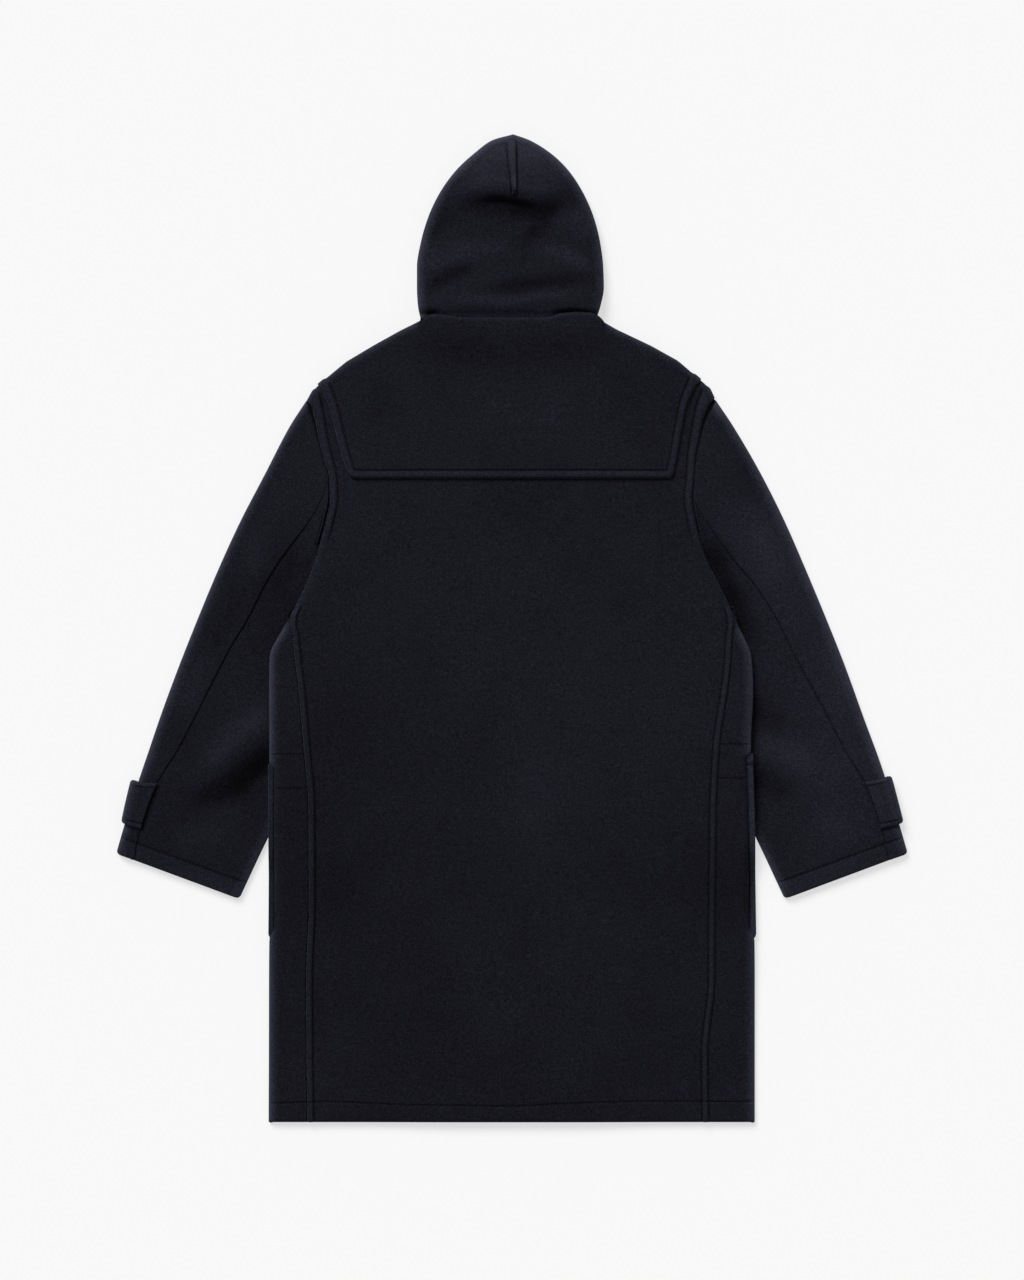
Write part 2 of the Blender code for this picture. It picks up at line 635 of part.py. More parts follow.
def make_pocket(front, side, look, flap_look):
    """Patch pocket and its flap, laid on the front and just past its side fold."""
    edge_column = front.first_under
    inner_column = edge_column + len(SHOULDER_LINES)
    pieces = [("pocket_", POCKET_FOOT_Y, POCKET_TOP_Y, 0, POCKET_STANDS_OUT, look),
              ("pocket_flap_", FLAP_FOOT_Y, FLAP_TOP_Y, 1, FLAP_STANDS_OUT, flap_look)]
    for name, foot, top, layer, stands_out, piece_look in pieces:
        rows = slice(LOWER_ROWS.index(foot), LOWER_ROWS.index(top) + 1)
        points = front.points[rows, edge_column:inner_column + 1].copy()
        normals = front.normals[rows, edge_column:inner_column + 1].copy()
        outermost = points[:, :1].copy()
        outermost[..., 0] += side * (FOLD_RADIUS + stands_out)
        points = np.concatenate([outermost, points], axis=1)
        normals[:, 0] = (0.0, 0.0, -1.0)
        normals = np.concatenate([normals[:, :1], normals], axis=1)
        base = Panel(points, normals=normals)
        base.lay_on(name + side_name(side), piece_look, slice(None), slice(None), layer=layer)


# ================================================================================================
# sleeve
# ================================================================================================
def sleeve_lines(side, row):
    """Plan points across the sleeve at a row: outer edge, ..., inner edge."""
    stations = np.arange(len(SLEEVE))
    word = side_name(side)
    outer_y = float(curve(stations, column(SLEEVE, "outer_y"), row))
    outer = np.array([float(curve(column(SLEEVE_OUTER, "y"), column(SLEEVE_OUTER, word), outer_y)), outer_y])
    seam_from_station = float(curve(stations, column(SLEEVE, "seam_y"), row))
    head_seam_y = SLEEVE_HEAD[SEAM_LINE[side]]
    seam_y = seam_from_station + (head_seam_y - SLEEVE[0].seam_y) * max(0.0, 1 - row)
    seam = np.array([float(curve(column(SLEEVE_SEAM, "y"), column(SLEEVE_SEAM, word), seam_y)), seam_y])
    inner = np.array([float(curve(stations, column(SLEEVE, "inner_x"), row)),
                      float(curve(stations, column(SLEEVE, "inner_y"), row))])
    return outer, seam, inner


def head_point(side, y):
    """Point of the armhole that the sleeve meets; the last stretch runs in under the body."""
    underarm = UNDERARM_Y[side]
    if y >= underarm:
        return np.array([float(body_edge(side, y)) + ARMHOLE_GAP, y])
    last = SLEEVE[0]
    share = (underarm - y) / (underarm - last.inner_y)
    start = float(body_edge(side, underarm)) + ARMHOLE_GAP
    return np.array([start + (last.inner_x - start) * share, y])


def sleeve_plan(side):
    """Grid in plan, rows from the armhole to the cuff, lines from the outer edge to the inner."""
    seam_at = SEAM_LINE[side]
    last = len(SLEEVE_HEAD) - 1
    head = [head_point(side, y) for y in SLEEVE_HEAD]
    rows = []
    for row in SLEEVE_ROWS:
        outer, seam, inner = sleeve_lines(side, row)
        fade = 1 - float(smoothstep(row / HEAD_FADE))
        points = []
        for c in range(last + 1):
            if c <= seam_at:
                share, a, b, a0, b0 = c / seam_at, outer, seam, head[0], head[seam_at]
            else:
                share = (c - seam_at) / (last - seam_at)
                a, b, a0, b0 = seam, inner, head[seam_at], head[last]
            bend = head[c] - (a0 + (b0 - a0) * share)
            points.append(a + (b - a) * share + bend * fade)
        rows.append(points)
    grid = np.array(rows)
    for c in range(last + 1):
        grid[0, c] = head[c]
    return grid


def sleeve_floor(row, line, seam_at):
    """The cuff strap underneath raises the sleeve by one layer."""
    along = max(STRAP_ROWS[0] - STRAP_MARGIN - row, row - STRAP_ROWS[1] - STRAP_MARGIN, 0.0)
    across = max(line - seam_at - STRAP_LINE_MARGIN, 0.0)
    return LAYER * float(smoothstep(1 - along / STRAP_RAMP) * smoothstep(1 - across / STRAP_LINE_RAMP))


def tube_half(grid, side, edge, stop, sign):
    """Outer points from line stop on top, round the folded edge line, to stop underneath."""
    seam_at = SEAM_LINE[side]
    step = 1 if stop > edge else -1
    rows = []
    for i, row in enumerate(SLEEVE_ROWS):
        line = grid[i]
        towards = line[edge] - line[edge + step]
        towards = towards / np.linalg.norm(towards)
        fold = line[edge] - towards * FOLD_RADIUS
        inner_end = line[stop] + towards * SEAM / 2
        inside = [inner_end] + [line[c] for c in range(stop - step, edge, -step)]
        heights = [sleeve_floor(row, c, seam_at) for c in range(stop, edge, -step)]
        if len(inside) > 1 and np.dot(inside[-1] - fold, towards) > -NEAR_FOLD:
            inside[-1] = fold + (inside[-2] - fold) * DRAWN_BACK
        points = [(p[0], p[1], h + STACK) for p, h in zip(inside, heights)]
        rise = sleeve_floor(row, edge, seam_at)
        for k in range(FOLD_STEPS + 1):
            angle = math.pi / 2 - math.pi * k / FOLD_STEPS
            at = fold + towards * FOLD_RADIUS * math.cos(angle)
            points.append((at[0], at[1], rise + FOLD_RADIUS * (1 + math.sin(angle))))
        points += [(p[0], p[1], h) for p, h in zip(inside[::-1], heights[::-1])]
        rows.append([(side * x, y, z) for x, y, z in points])
    return Panel(np.array(rows), towards=-float(side * sign))


def make_sleeve(side, look, strap_look):
    grid = sleeve_plan(side)
    seam_at = SEAM_LINE[side]
    last = len(SLEEVE_HEAD) - 1
    upper = tube_half(grid, side, 0, seam_at, -1)
    upper.build("upper_sleeve_" + side_name(side), look)
    under = tube_half(grid, side, last, seam_at, 1)
    under.build("under_sleeve_" + side_name(side), look)
    rows = slice(SLEEVE_ROWS.index(STRAP_ROWS[0]), SLEEVE_ROWS.index(STRAP_ROWS[1]) + 1)
    columns = slice(1, upper.points.shape[1] - 2)
    upper.lay_on("cuff_strap_" + side_name(side), strap_look, rows, columns)


# ================================================================================================
# hood
# ================================================================================================
HOOD_RAYS = 19
CREASE_Y = 527.0                    # deep fold across the hood, with a roll of cloth above it
CREASE_WIDTH = 9.0
CREASE_DEPTH = 1.4
ROLL_ABOVE = 20.0
ROLL_WIDTH = 13.0
ROLL_HEIGHT = 4.0
FOLDS_FROM, FOLDS_TO = 33.0, 77.5   # distances from the middle over which both fade out


def hood_relief(x, y):
    """Folds on the back of the hood, over a plain inside."""
    reach = smoothstep((FOLDS_TO - np.abs(x)) / (FOLDS_TO - FOLDS_FROM))
    roll = ROLL_HEIGHT * np.exp(-((y - CREASE_Y - ROLL_ABOVE) / ROLL_WIDTH) ** 2)
    crease = -CREASE_DEPTH * np.exp(-((y - CREASE_Y) / CREASE_WIDTH) ** 2)
    return reach * (roll + crease)


def hood_floor(side, at):
    x = HOOD_SEAM_X + side * at[0]
    return float(floor_of_fronts(x, at[1]) + lap_lift(x, at[1]))


def make_hood(side, look):
    """Half of the hood: middle seam, outline, then a return to the face opening underneath."""
    word = side_name(side)
    share = np.linspace(0, 1, len(HOOD))
    rays = np.linspace(0, 1, HOOD_RAYS)
    outline_x = curve(share, column(HOOD, "x_" + word), rays)
    outline_y = curve(share, column(HOOD, "y"), rays)
    spine_y = curve(share, column(HOOD, "spine_y"), rays)
    return_x = curve(share, column(HOOD, "return_x"), rays)
    return_y = curve(share, column(HOOD, "return_y"), rays)
    rows = []
    fold_normals = []
    for i in range(HOOD_RAYS):
        spine = np.array([SEAM / 2, spine_y[i]])
        outline = np.array([outline_x[i] + SEAM / 2, outline_y[i]])
        opening = np.array([return_x[i] + SEAM / 2, return_y[i]])
        towards = (outline - spine) / np.linalg.norm(outline - spine)
        fold = outline - towards * FOLD_RADIUS
        points = []
        for k in range(HOOD_ACROSS):
            at = spine + (fold - spine) * k / HOOD_ACROSS
            points.append((*at, hood_floor(side, at) + STACK))
        rise = hood_floor(side, fold)
        for k in range(FOLD_STEPS + 1):
            angle = math.pi / 2 - math.pi * k / FOLD_STEPS
            at = fold + towards * FOLD_RADIUS * math.cos(angle)
            points.append((*at, rise + FOLD_RADIUS * (1 + math.sin(angle))))
            fold_normals.append((side * towards[0] * math.cos(angle), towards[1] * math.cos(angle),
                                 math.sin(angle)))
        for k in range(1, HOOD_RETURN + 1):
            at = fold + (opening - fold) * k / HOOD_RETURN
            points.append((*at, hood_floor(side, at)))
        rows.append([(HOOD_SEAM_X + side * x, y, z) for x, y, z in points])
    panel = Panel(np.array(rows), towards=-float(side))
    folded = slice(HOOD_ACROSS, HOOD_ACROSS + FOLD_STEPS + 1)
    panel.normals[:, 0] = (0.0, 0.0, 1.0)
    panel.normals[-1, :HOOD_ACROSS] = (0.0, 0.0, 1.0)
    panel.normals[-1, HOOD_ACROSS + FOLD_STEPS + 1:] = (0.0, 0.0, -1.0)
    panel.normals[:, folded] = np.array(fold_normals).reshape(HOOD_RAYS, FOLD_STEPS + 1, 3)
    panel.normals[-1, folded, 0] = 0.0
    relief = hood_relief(panel.points[..., 0], panel.points[..., 1])
    relief[:, HOOD_ACROSS + 1:] = 0.0
    panel.build("hood_" + word, look, relief=relief)
    return panel


def make_crown_band(look):
    """Strip that covers the middle seam at the crown."""
    ys = np.linspace(BAND_FOOT_Y, BAND_TOP_Y, BAND_ROWS)
    share = BAND_NARROW + (1 - BAND_NARROW) * smoothstep((ys - BAND_FOOT_Y) / BAND_WIDENS)
    widths = BAND_WIDTH / 2 * share
    x = HOOD_SEAM_X + widths[:, None] * np.array([-1.0, 0.0, 1.0])
    y = np.repeat(ys[:, None], 3, axis=1)
    z = STACK + np.maximum(hood_relief(x, y), 0.0) + BAND_CLEAR
    base = Panel(plan(x, y, z), towards=-1.0)
    base.lay_on("hood_crown_band", look, slice(None), slice(None), thickness=BAND_THICKNESS)


# ================================================================================================
# closure
# ================================================================================================
TUBE_SIDES = 6
TOGGLE_SIDES = 10


def tube(name, path, radii, sides, look):
    """Round bar along a path, with closed ends."""
    path = np.asarray(path, float)
    radii = np.broadcast_to(radii, len(path))
    tangents = np.gradient(path, axis=0)
    tangents /= np.linalg.norm(tangents, axis=1, keepdims=True)
    reference = np.array([0.0, 0.0, 1.0])
    vertices = []
    for point, tangent, radius in zip(path, tangents, radii):
        across = np.cross(tangent, reference)
        across /= np.linalg.norm(across)
        up = np.cross(across, tangent)
        for k in range(sides):
            angle = 2 * math.pi * (k + 0.5) / sides
            vertices.append(point + radius * (math.cos(angle) * across + math.sin(angle) * up))
    faces = [list(range(sides))[::-1]]
    for i in range(len(path) - 1):
        for k in range(sides):
            a, b = i * sides + k, i * sides + (k + 1) % sides
            faces.append([a, b, b + sides, a + sides])
    faces.append([(len(path) - 1) * sides + k for k in range(sides)])
    if cell_volume(faces, np.array(vertices)) < 0:
        faces = [face[::-1] for face in faces]
    return add_object(name, vertices, faces, look)


def patch(name, side, y, under, look):
    """Leather patch with cut corners, on the underside of a front."""
    low, high = -PATCH_HALF, PATCH_HALF
    corners = [
        (PATCH_FROM, low + PATCH_CUT), (PATCH_FROM + PATCH_CUT, low),
        (PATCH_TO - PATCH_CUT, low), (PATCH_TO, low + PATCH_CUT),
        (PATCH_TO, high - PATCH_CUT), (PATCH_TO - PATCH_CUT, high),
        (PATCH_FROM + PATCH_CUT, high), (PATCH_FROM, high - PATCH_CUT),
    ]
    top = under - SEAM
    vertices = [(side * x, y + dy, z) for z in (top - PATCH_THICKNESS, top) for x, dy in corners]
    count = len(corners)
    faces = [list(range(count))[::-1], [k + count for k in range(count)]]
    faces += [[k, (k + 1) % count, (k + 1) % count + count, k + count] for k in range(count)]
    if cell_volume(faces, np.array(vertices)) < 0:
        faces = [face[::-1] for face in faces]
    return add_object(name, vertices, faces, look)


def mirrored(half, turn):
    """Both halves of a cord's way, joined at its turn."""
    return half + [turn] + [(x, -dy, z) for x, dy, z in half[::-1]]


def make_closure(number, y, horn, leather):
    """One fastening: toggle, its cord on the left front, and the loop on the right front."""
    under_left = LANE_HEIGHT
    under_right = LANE_HEIGHT + LAYER
    patch("toggle_patch_%d" % number, -1, y, under_left, leather)
    patch("loop_patch_%d" % number, 1, y, under_right, leather)
    middle = TOGGLE_RADIUS + UNDER_TOGGLE
    path = [(0.0, y + TOGGLE_LENGTH * (row.share - 0.5), middle) for row in TOGGLE]
    tube("toggle_%d" % number, path, [row.radius * TOGGLE_RADIUS for row in TOGGLE], TOGGLE_SIDES, horn)
    below_patch = SEAM + PATCH_THICKNESS + SEAM + CORD_RADIUS
    # the toggle's own cord: from its patch, under the end of the loop, to the toggle's waist
    start = under_left - below_patch
    half = [(-PATCH_TO + CORD_INSET, CORD_SPREAD, start), (-PATCH_FROM, CORD_SPREAD, start),
            (-CORD_BEND_AWAY, CORD_SPREAD, start - CORD_DIPS)]
    half += [(-point.away, point.spread, point.height) for point in CORD_FALL]
    way = mirrored(half, (-CORD_TURN.away, CORD_TURN.spread, CORD_TURN.height))
    tube("toggle_cord_%d" % number, [(x, y + dy, z) for x, dy, z in way], CORD_RADIUS, TUBE_SIDES, leather)
    # the loop: from the other patch, over the toggle and round behind its cord
    start = under_right - below_patch
    over = middle + TOGGLE_RADIUS + SEAM + CORD_RADIUS
    half = [(PATCH_TO - CORD_INSET, LOOP_SPREAD, start), (PATCH_FROM + LOOP_FOLD_AWAY, LOOP_SPREAD, start),
            (FRONT_LAP + LOOP_OVER_LAP, LOOP_SPREAD, over)]
    half += [(x, dy, over) for x, dy in LOOP_ENDS]
    way = mirrored(half, (*LOOP_TURN, over))
    tube("catch_loop_%d" % number, [(x, y + dy, z) for x, dy, z in way], CORD_RADIUS, TUBE_SIDES, leather)


# ================================================================================================
# the coat
# ================================================================================================
HORN = (0.055, 0.030, 0.016)
LEATHER = (0.016, 0.013, 0.011)
MELTON = (0.0100, 0.0106, 0.0140)
MELTON_DARK = (0.0090, 0.0095, 0.0125)
ROUGH = 0.95


def main():
    remove_everything()
    looks = {name: material(name, MELTON, ROUGH) for name in
             ("back_melton", "front_melton", "sleeve_melton", "hood_melton", "pocket_melton")}
    looks["yoke_melton"] = material("yoke_melton", MELTON_DARK, ROUGH)
    looks["trim_melton"] = material("trim_melton", MELTON_DARK, ROUGH)
    back = make_back(looks["back_melton"])
    fronts = {side: make_front(side, looks["front_melton"]) for side in (-1, 1)}
    make_yoke(back, fronts, looks["yoke_melton"])
    for side in (-1, 1):
        make_pocket(fronts[side], side, looks["pocket_melton"], looks["trim_melton"])
        make_sleeve(side, looks["sleeve_melton"], looks["trim_melton"])
        make_hood(side, looks["hood_melton"])
    make_crown_band(looks["trim_melton"])
    horn = material("horn", HORN, 0.35)
    leather = material("leather", LEATHER, 0.6)
    for number, y in enumerate(TOGGLE_YS, start=1):
        make_closure(number, y, horn, leather)


main()
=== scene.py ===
"""Looks of the duffle coat: heavy navy melton, laid out face down on a pale floor.

Sizes are in millimetres, in the frame of the CAD model: X to the wearer's right, Y towards the hood,
Z up from the floor.  The tables of the body, the sleeves and the hood follow part.py, with narrower gaps
where two pieces are sewn together.  A side is -1 for the wearer's left and 1 for the right.
"""
import math
from collections import namedtuple

import bpy
import numpy as np
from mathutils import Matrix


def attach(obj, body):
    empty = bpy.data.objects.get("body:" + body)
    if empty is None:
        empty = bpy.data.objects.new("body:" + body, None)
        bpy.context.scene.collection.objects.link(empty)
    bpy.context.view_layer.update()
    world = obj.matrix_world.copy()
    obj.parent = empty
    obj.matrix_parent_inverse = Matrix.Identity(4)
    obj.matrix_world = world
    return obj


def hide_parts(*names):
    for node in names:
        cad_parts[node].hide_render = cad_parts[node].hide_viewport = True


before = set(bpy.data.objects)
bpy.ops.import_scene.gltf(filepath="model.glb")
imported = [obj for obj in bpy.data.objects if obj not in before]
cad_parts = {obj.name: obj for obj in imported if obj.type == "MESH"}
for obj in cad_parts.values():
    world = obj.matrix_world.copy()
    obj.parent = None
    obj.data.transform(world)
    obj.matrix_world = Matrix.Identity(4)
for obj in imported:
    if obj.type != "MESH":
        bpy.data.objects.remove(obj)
bpy.context.view_layer.update()

MM = 0.001


def named(kind, *values):
    """Rows of a table, whose parts have names."""
    return [kind(*row) for row in values]


# ---- cloth -------------------------------------------------------------------
CLOTH = 3.0                         # thickness of one wall of melton
SEAM = 0.3                          # gap between two pieces
STACK = 9.0                         # height of a flat tube
LAYER = CLOTH + SEAM
COARSE = 5.0                        # widest spacing of the grids
FINE = 0.7                          # spacing beside a stitched line

# ---- body --------------------------------------------------------------------
HEM_Y = -617.3
YOKE_HEM_Y = 186.2
ARMHOLE_TOP_Y = 284.0
NECK_Y = 384.0
NECK_HALF = 116.0                   # the shoulder starts this far from the middle
STRIP_TOP_Y = 26.0                  # the side seam ends here, on the armhole's edge
SEAM_RUNS_OUT_Y = -10.0             # and starts to run out to that edge here
UNDERARM_Y = {-1: 104.0, 1: 118.0}
ARMHOLE_GAP = 0.8                   # the sleeve's head is set in this far from the body's edge
FRONT_LAP = 35.0                    # each front passes the centre line by this much

BodyRow = namedtuple("BodyRow", "y edge_left edge_right seam_left seam_right")
BODY = named(BodyRow, (HEM_Y, 304.3, 303.5, 255.6, 246.4), (-530.0, 304.0, 303.5, 256.7, 245.4),
    (-440.0, 303.8, 303.5, 257.2, 253.9), (-345.0, 302.8, 302.4, 253.7, 254.2),
    (-230.0, 302.5, 300.5, 253.5, 255.0), (-145.0, 302.5, 298.0, 260.0, 259.4),
    (-76.0, 303.0, 301.0, 266.3, 269.5), (-37.0, 302.5, 299.0, 271.0, 274.0),
    (0.0, 285.5, 284.0, 274.0, 275.5), (26.0, 271.5, 272.5, 268.0, 269.0),
    (54.0, 257.5, 259.0, 253.5, 255.0), (85.0, 245.5, 243.5, 241.5, 239.5),
    (104.0, 240.0, 236.0, 236.0, 232.0), (136.0, 231.5, 228.8, 227.5, 224.8),
    (160.0, 227.0, 225.0, 223.0, 221.0), (187.8, 228.0, 227.5, 224.0, 223.0),
    (212.0, 235.0, 230.0, 231.0, 226.0), (236.0, 242.0, 235.5, 238.0, 231.0),
    (260.0, 248.5, 242.5, 244.0, 238.0), (284.0, 257.0, 254.5, 253.0, 250.0))
# top of the body in plan, from the middle to the armhole
TopPoint = namedtuple("TopPoint", "x y")
BACK_TOP = {
    -1: named(TopPoint, (0.0, 387.2), (52.0, 387.2), (70.0, 387.8), (82.5, 390.3), (95.0, 391.0),
        (105.0, 389.7), (113.8, 384.4), (140.0, 371.5), (173.8, 352.8), (207.5, 332.8), (241.0, 305.0),
        (248.0, 297.0), (258.0, 279.0)),
    1: named(TopPoint, (0.0, 387.2), (40.0, 387.2), (49.0, 387.9), (60.0, 391.6), (79.0, 393.4),
        (97.5, 392.8), (105.0, 390.0), (111.0, 384.4), (131.0, 373.0), (173.8, 352.8), (207.5, 334.2),
        (241.0, 305.5), (247.5, 297.5), (255.0, 281.0)),
}
FRONT_NECK = named(TopPoint, (-FRONT_LAP, 311.0), (24.0, 315.0), (71.0, 350.2), (NECK_HALF, 383.0))
FRONT_TOP = FRONT_NECK + [point for point in BACK_TOP[-1] if point.x > NECK_HALF]
YOKE_TOP_Y = 300.0
YokeRow = namedtuple("YokeRow", "y left right")
YOKE_EDGE = named(YokeRow, (YOKE_HEM_Y, 202.5, 201.5), (203.0, 208.5, 205.0), (211.6, 212.0, 207.5),
    (244.0, 222.0, 215.0), (274.0, 230.5, 222.8), (YOKE_TOP_Y, 242.0, 235.5))
YOKE_FRONT_FOOT = 236.0             # how far down the yoke reaches on the fronts

# ---- pockets, closure and what else lies under the back ----------------------
POCKET_FOOT_Y = -390.0
POCKET_TOP_Y = -171.0
FLAP_TOP_Y = -157.0
FLAP_FOOT_Y = -215.0
POCKET_WIDTH = 176.0
PATCH_OUTER_X = 320.0               # the raised part runs on past the side fold to here
PATCH_INNER_X = 300.0 - POCKET_WIDTH
PATCH_MARGIN = 18.0                 # as high as the patch over this much more, then a slope
PATCH_RAMP = 40.0
UNDER_SLEEVE = [(229.0, 122.0), (200.0, 51.0), (215.0, 0.0), (245.5, -96.0), (277.0, -191.0),
                (303.0, -256.0), (420.0, -256.0), (420.0, 122.0)]
SLEEVE_MARGIN = 13.0
SLEEVE_FOLD_ROOM = 3.5              # left for the sleeves' own folds
SLEEVE_RAMP_X = 95.0
SLEEVE_RAMP_Y = 44.0
LAP_LANE = 70.0                     # half width of the part raised by the lapped fronts
LAP_RAMP = 50.0
LAP_ENDS = (HEM_Y - 100.0, 370.0)
LANE_HALF = 84.0                    # and of the part raised by the toggles
LANE_ENDS = (-225.0, 345.0)
LANE_RAMP = 100.0
LANE_HEIGHT = 11.3
YOKE_MARGIN = 2.0
YOKE_RAMP = 24.0
YOKE_UNDER = [(218.0, 236.0), (241.0, 305.0), (116.0, NECK_Y), (108.0, 236.0)]

# ---- sleeve ------------------------------------------------------------------
OuterRow = namedtuple("OuterRow", "y left right")
SLEEVE_OUTER = named(OuterRow, (284.0, 257.3, 255.4), (252.8, 277.5, 276.3), (192.8, 308.8, 311.3),
    (132.8, 340.0, 341.3), (72.8, 367.5, 367.5), (12.8, 392.5, 392.5), (-47.2, 416.3, 416.3),
    (-107.2, 438.5, 438.0), (-167.2, 458.8, 460.0), (-228.0, 479.0, 479.0), (-282.2, 495.0, 495.0))
SLEEVE_SEAM = named(OuterRow, (187.8, 228.3, 212.0), (160.0, 238.0, 226.2), (137.0, 251.0, 240.0),
    (85.0, 290.0, 277.5), (52.0, 310.0, 305.0), (10.0, 331.0, 332.0), (-21.0, 350.0, 347.0),
    (-61.0, 371.0, 368.0), (-101.0, 391.0, 390.0), (-152.0, 417.5, 416.0), (-195.0, 444.0, 442.0),
    (-225.0, 456.0, 454.0), (-267.0, 468.0, 466.0), (-290.0, 472.0, 471.0))
Station = namedtuple("Station", "outer_y seam_y inner_x inner_y")
SLEEVE = named(Station, (284.0, 175.0, 200.0, 48.0), (210.0, 122.0, 215.0, 0.0),
    (122.0, 60.0, 230.0, -48.0), (40.0, -3.0, 245.5, -96.0), (-35.0, -61.0, 261.0, -144.0),
    (-104.0, -122.0, 277.0, -191.0), (-167.0, -178.0, 294.5, -239.0), (-228.0, -235.0, 317.0, -287.0),
    (-282.0, -290.0, 341.0, -338.5))
CUFF_ROW = 8.0                      # the last of those stations
ROW_LENGTH = 55.0                   # the way from one station to the next, in millimetres
STRAP_ROWS = (6.42, 7.24)           # the cuff strap's edges, counted in stations
SLEEVE_HEAD = [284.0, 260.0, 236.0, 212.0, YOKE_HEM_Y, 160.0, 136.0, 118.0, 104.0, 74.0, 48.0]
SEAM_LINE = {-1: 4, 1: 5}           # which of those lines is the sleeve's back seam
HEAD_FADE = 5.0                     # stations over which the armhole's curve fades out of the sleeve

# ---- hood --------------------------------------------------------------------
HoodRay = namedtuple("HoodRay", "x_left x_right y spine_y return_x return_y")
HOOD = named(HoodRay, (115.3, 103.5, 385.0, 387.6, 44.0, 332.5),
    (119.0, 109.2, 403.0, 402.5, 50.0, 352.0), (120.3, 113.3, 426.0, 424.0, 55.0, 390.0),
    (120.3, 112.5, 452.0, 446.0, 58.0, 430.0), (115.3, 108.5, 483.0, 468.0, 59.0, 468.0),
    (106.5, 100.8, 513.0, 488.0, 57.0, 500.0), (93.0, 88.5, 542.0, 505.0, 51.0, 524.0),
    (71.5, 69.0, 572.0, 519.0, 40.0, 545.0), (49.0, 47.3, 593.0, 530.0, 26.0, 558.0),
    (25.5, 20.0, 609.8, 539.0, 12.0, 564.0), (0.0, 0.0, 617.0, 546.0, 0.0, 566.0))
HOOD_SEAM_X = 1.5
BAND_FOOT_Y = 541.0

# ---- how folded edges look ---------------------------------------------------
EDGE_REACH = 9.0                    # a folded edge rounds over this much in plan


# ---- curves and heights ------------------------------------------------------
def curve(keys, values, at):
    """Smooth curve through a table, with no overshoot between its rows."""
    k = np.asarray(keys, float)
    v = np.asarray(values, float)
    if k[0] > k[-1]:
        k, v = k[::-1], v[::-1]
    step = np.diff(k)
    slope = np.diff(v) / step
    tangent = np.empty_like(v)
    tangent[0], tangent[-1] = slope[0], slope[-1]
    both = slope[:-1] * slope[1:]
    total = np.where(np.abs(slope[:-1] + slope[1:]) < 1e-9, 1.0, slope[:-1] + slope[1:])
    tangent[1:-1] = np.where(both > 0, 2 * both / total, 0.0)
    x = np.clip(np.asarray(at, float), k[0], k[-1])
    i = np.clip(np.searchsorted(k, x) - 1, 0, len(k) - 2)
    t = (x - k[i]) / step[i]
    h = step[i]
    return ((2 * t**3 - 3 * t**2 + 1) * v[i] + (t**3 - 2 * t**2 + t) * h * tangent[i]
            + (3 * t**2 - 2 * t**3) * v[i + 1] + (t**3 - t**2) * h * tangent[i + 1])


def column(table, name):
    return [getattr(row, name) for row in table]


def side_name(side):
    return "left" if side < 0 else "right"


def smoothstep(t):
    t = np.clip(t, 0.0, 1.0)
    return t * t * (3 - 2 * t)


def body_edge(side, y):
    return curve(column(BODY, "y"), column(BODY, "edge_" + side_name(side)), y)


def side_seam(side, y):
    """The side seam; at its top it runs out onto the armhole's edge."""
    seam = curve(column(BODY, "y"), column(BODY, "seam_" + side_name(side)), y)
    run_out = smoothstep((np.asarray(y) - SEAM_RUNS_OUT_Y) / (STRIP_TOP_Y - SEAM_RUNS_OUT_Y))
    return seam + (body_edge(side, y) - seam) * run_out


def distance_outside(x, y, outline):
    """Distance from (x, y) to a closed outline, 0 inside it."""
    x = np.asarray(x, float)
    y = np.asarray(y, float)
    nearest = np.full(np.broadcast(x, y).shape, 1e9)
    inside = np.zeros(nearest.shape, bool)
    for (ax, ay), (bx, by) in zip(outline, outline[1:] + outline[:1]):
        dx, dy = bx - ax, by - ay
        t = np.clip(((x - ax) * dx + (y - ay) * dy) / (dx * dx + dy * dy), 0, 1)
        nearest = np.minimum(nearest, np.hypot(x - ax - t * dx, y - ay - t * dy))
        crosses = (ay > y) != (by > y)
        inside ^= crosses & (x < ax + (y - ay) * dx / (dy if dy else 1e-9))
    return np.where(inside, 0.0, nearest)


def ramp_up(x, y, outline, margin, ramp_x, ramp_y):
    """1 over an outline and its margin, then a soft slope down to 0."""
    shrink = ramp_y / ramp_x
    squeezed = [(px * shrink, py) for px, py in outline]
    distance = distance_outside(np.asarray(x) * shrink, y, squeezed)
    return smoothstep(1 - (distance - margin) / ramp_y)


def box_outline(x0, x1, y0, y1):
    return [(x0, y0), (x1, y0), (x1, y1), (x0, y1)]


def under_fronts(x, y):
    """What the sleeves, the pockets, the yoke's front and the toggles raise the fronts by."""
    away = np.abs(x)
    height = (STACK + SEAM + SLEEVE_FOLD_ROOM) * ramp_up(
        away, y, UNDER_SLEEVE, SLEEVE_MARGIN, SLEEVE_RAMP_X, SLEEVE_RAMP_Y)
    for foot, top in ((POCKET_FOOT_Y, POCKET_TOP_Y), (FLAP_FOOT_Y, FLAP_TOP_Y)):
        outline = box_outline(PATCH_INNER_X, PATCH_OUTER_X, foot, top)
        height = height + LAYER * ramp_up(away, y, outline, PATCH_MARGIN, PATCH_RAMP, PATCH_RAMP)
    height = height + LAYER * ramp_up(away, y, YOKE_UNDER, YOKE_MARGIN, YOKE_RAMP, YOKE_RAMP)
    lane = box_outline(-LANE_HALF, LANE_HALF, *LANE_ENDS)
    return height + LANE_HEIGHT * ramp_up(x, y, lane, 0.0, LANE_RAMP, LANE_RAMP)


def lap_lift(x, y):
    """The left front lies under the right one at the centre."""
    lane = box_outline(-LAP_LANE, LAP_LANE, *LAP_ENDS)
    return LAYER * ramp_up(x, y, lane, 0.0, LAP_RAMP, LAP_RAMP)


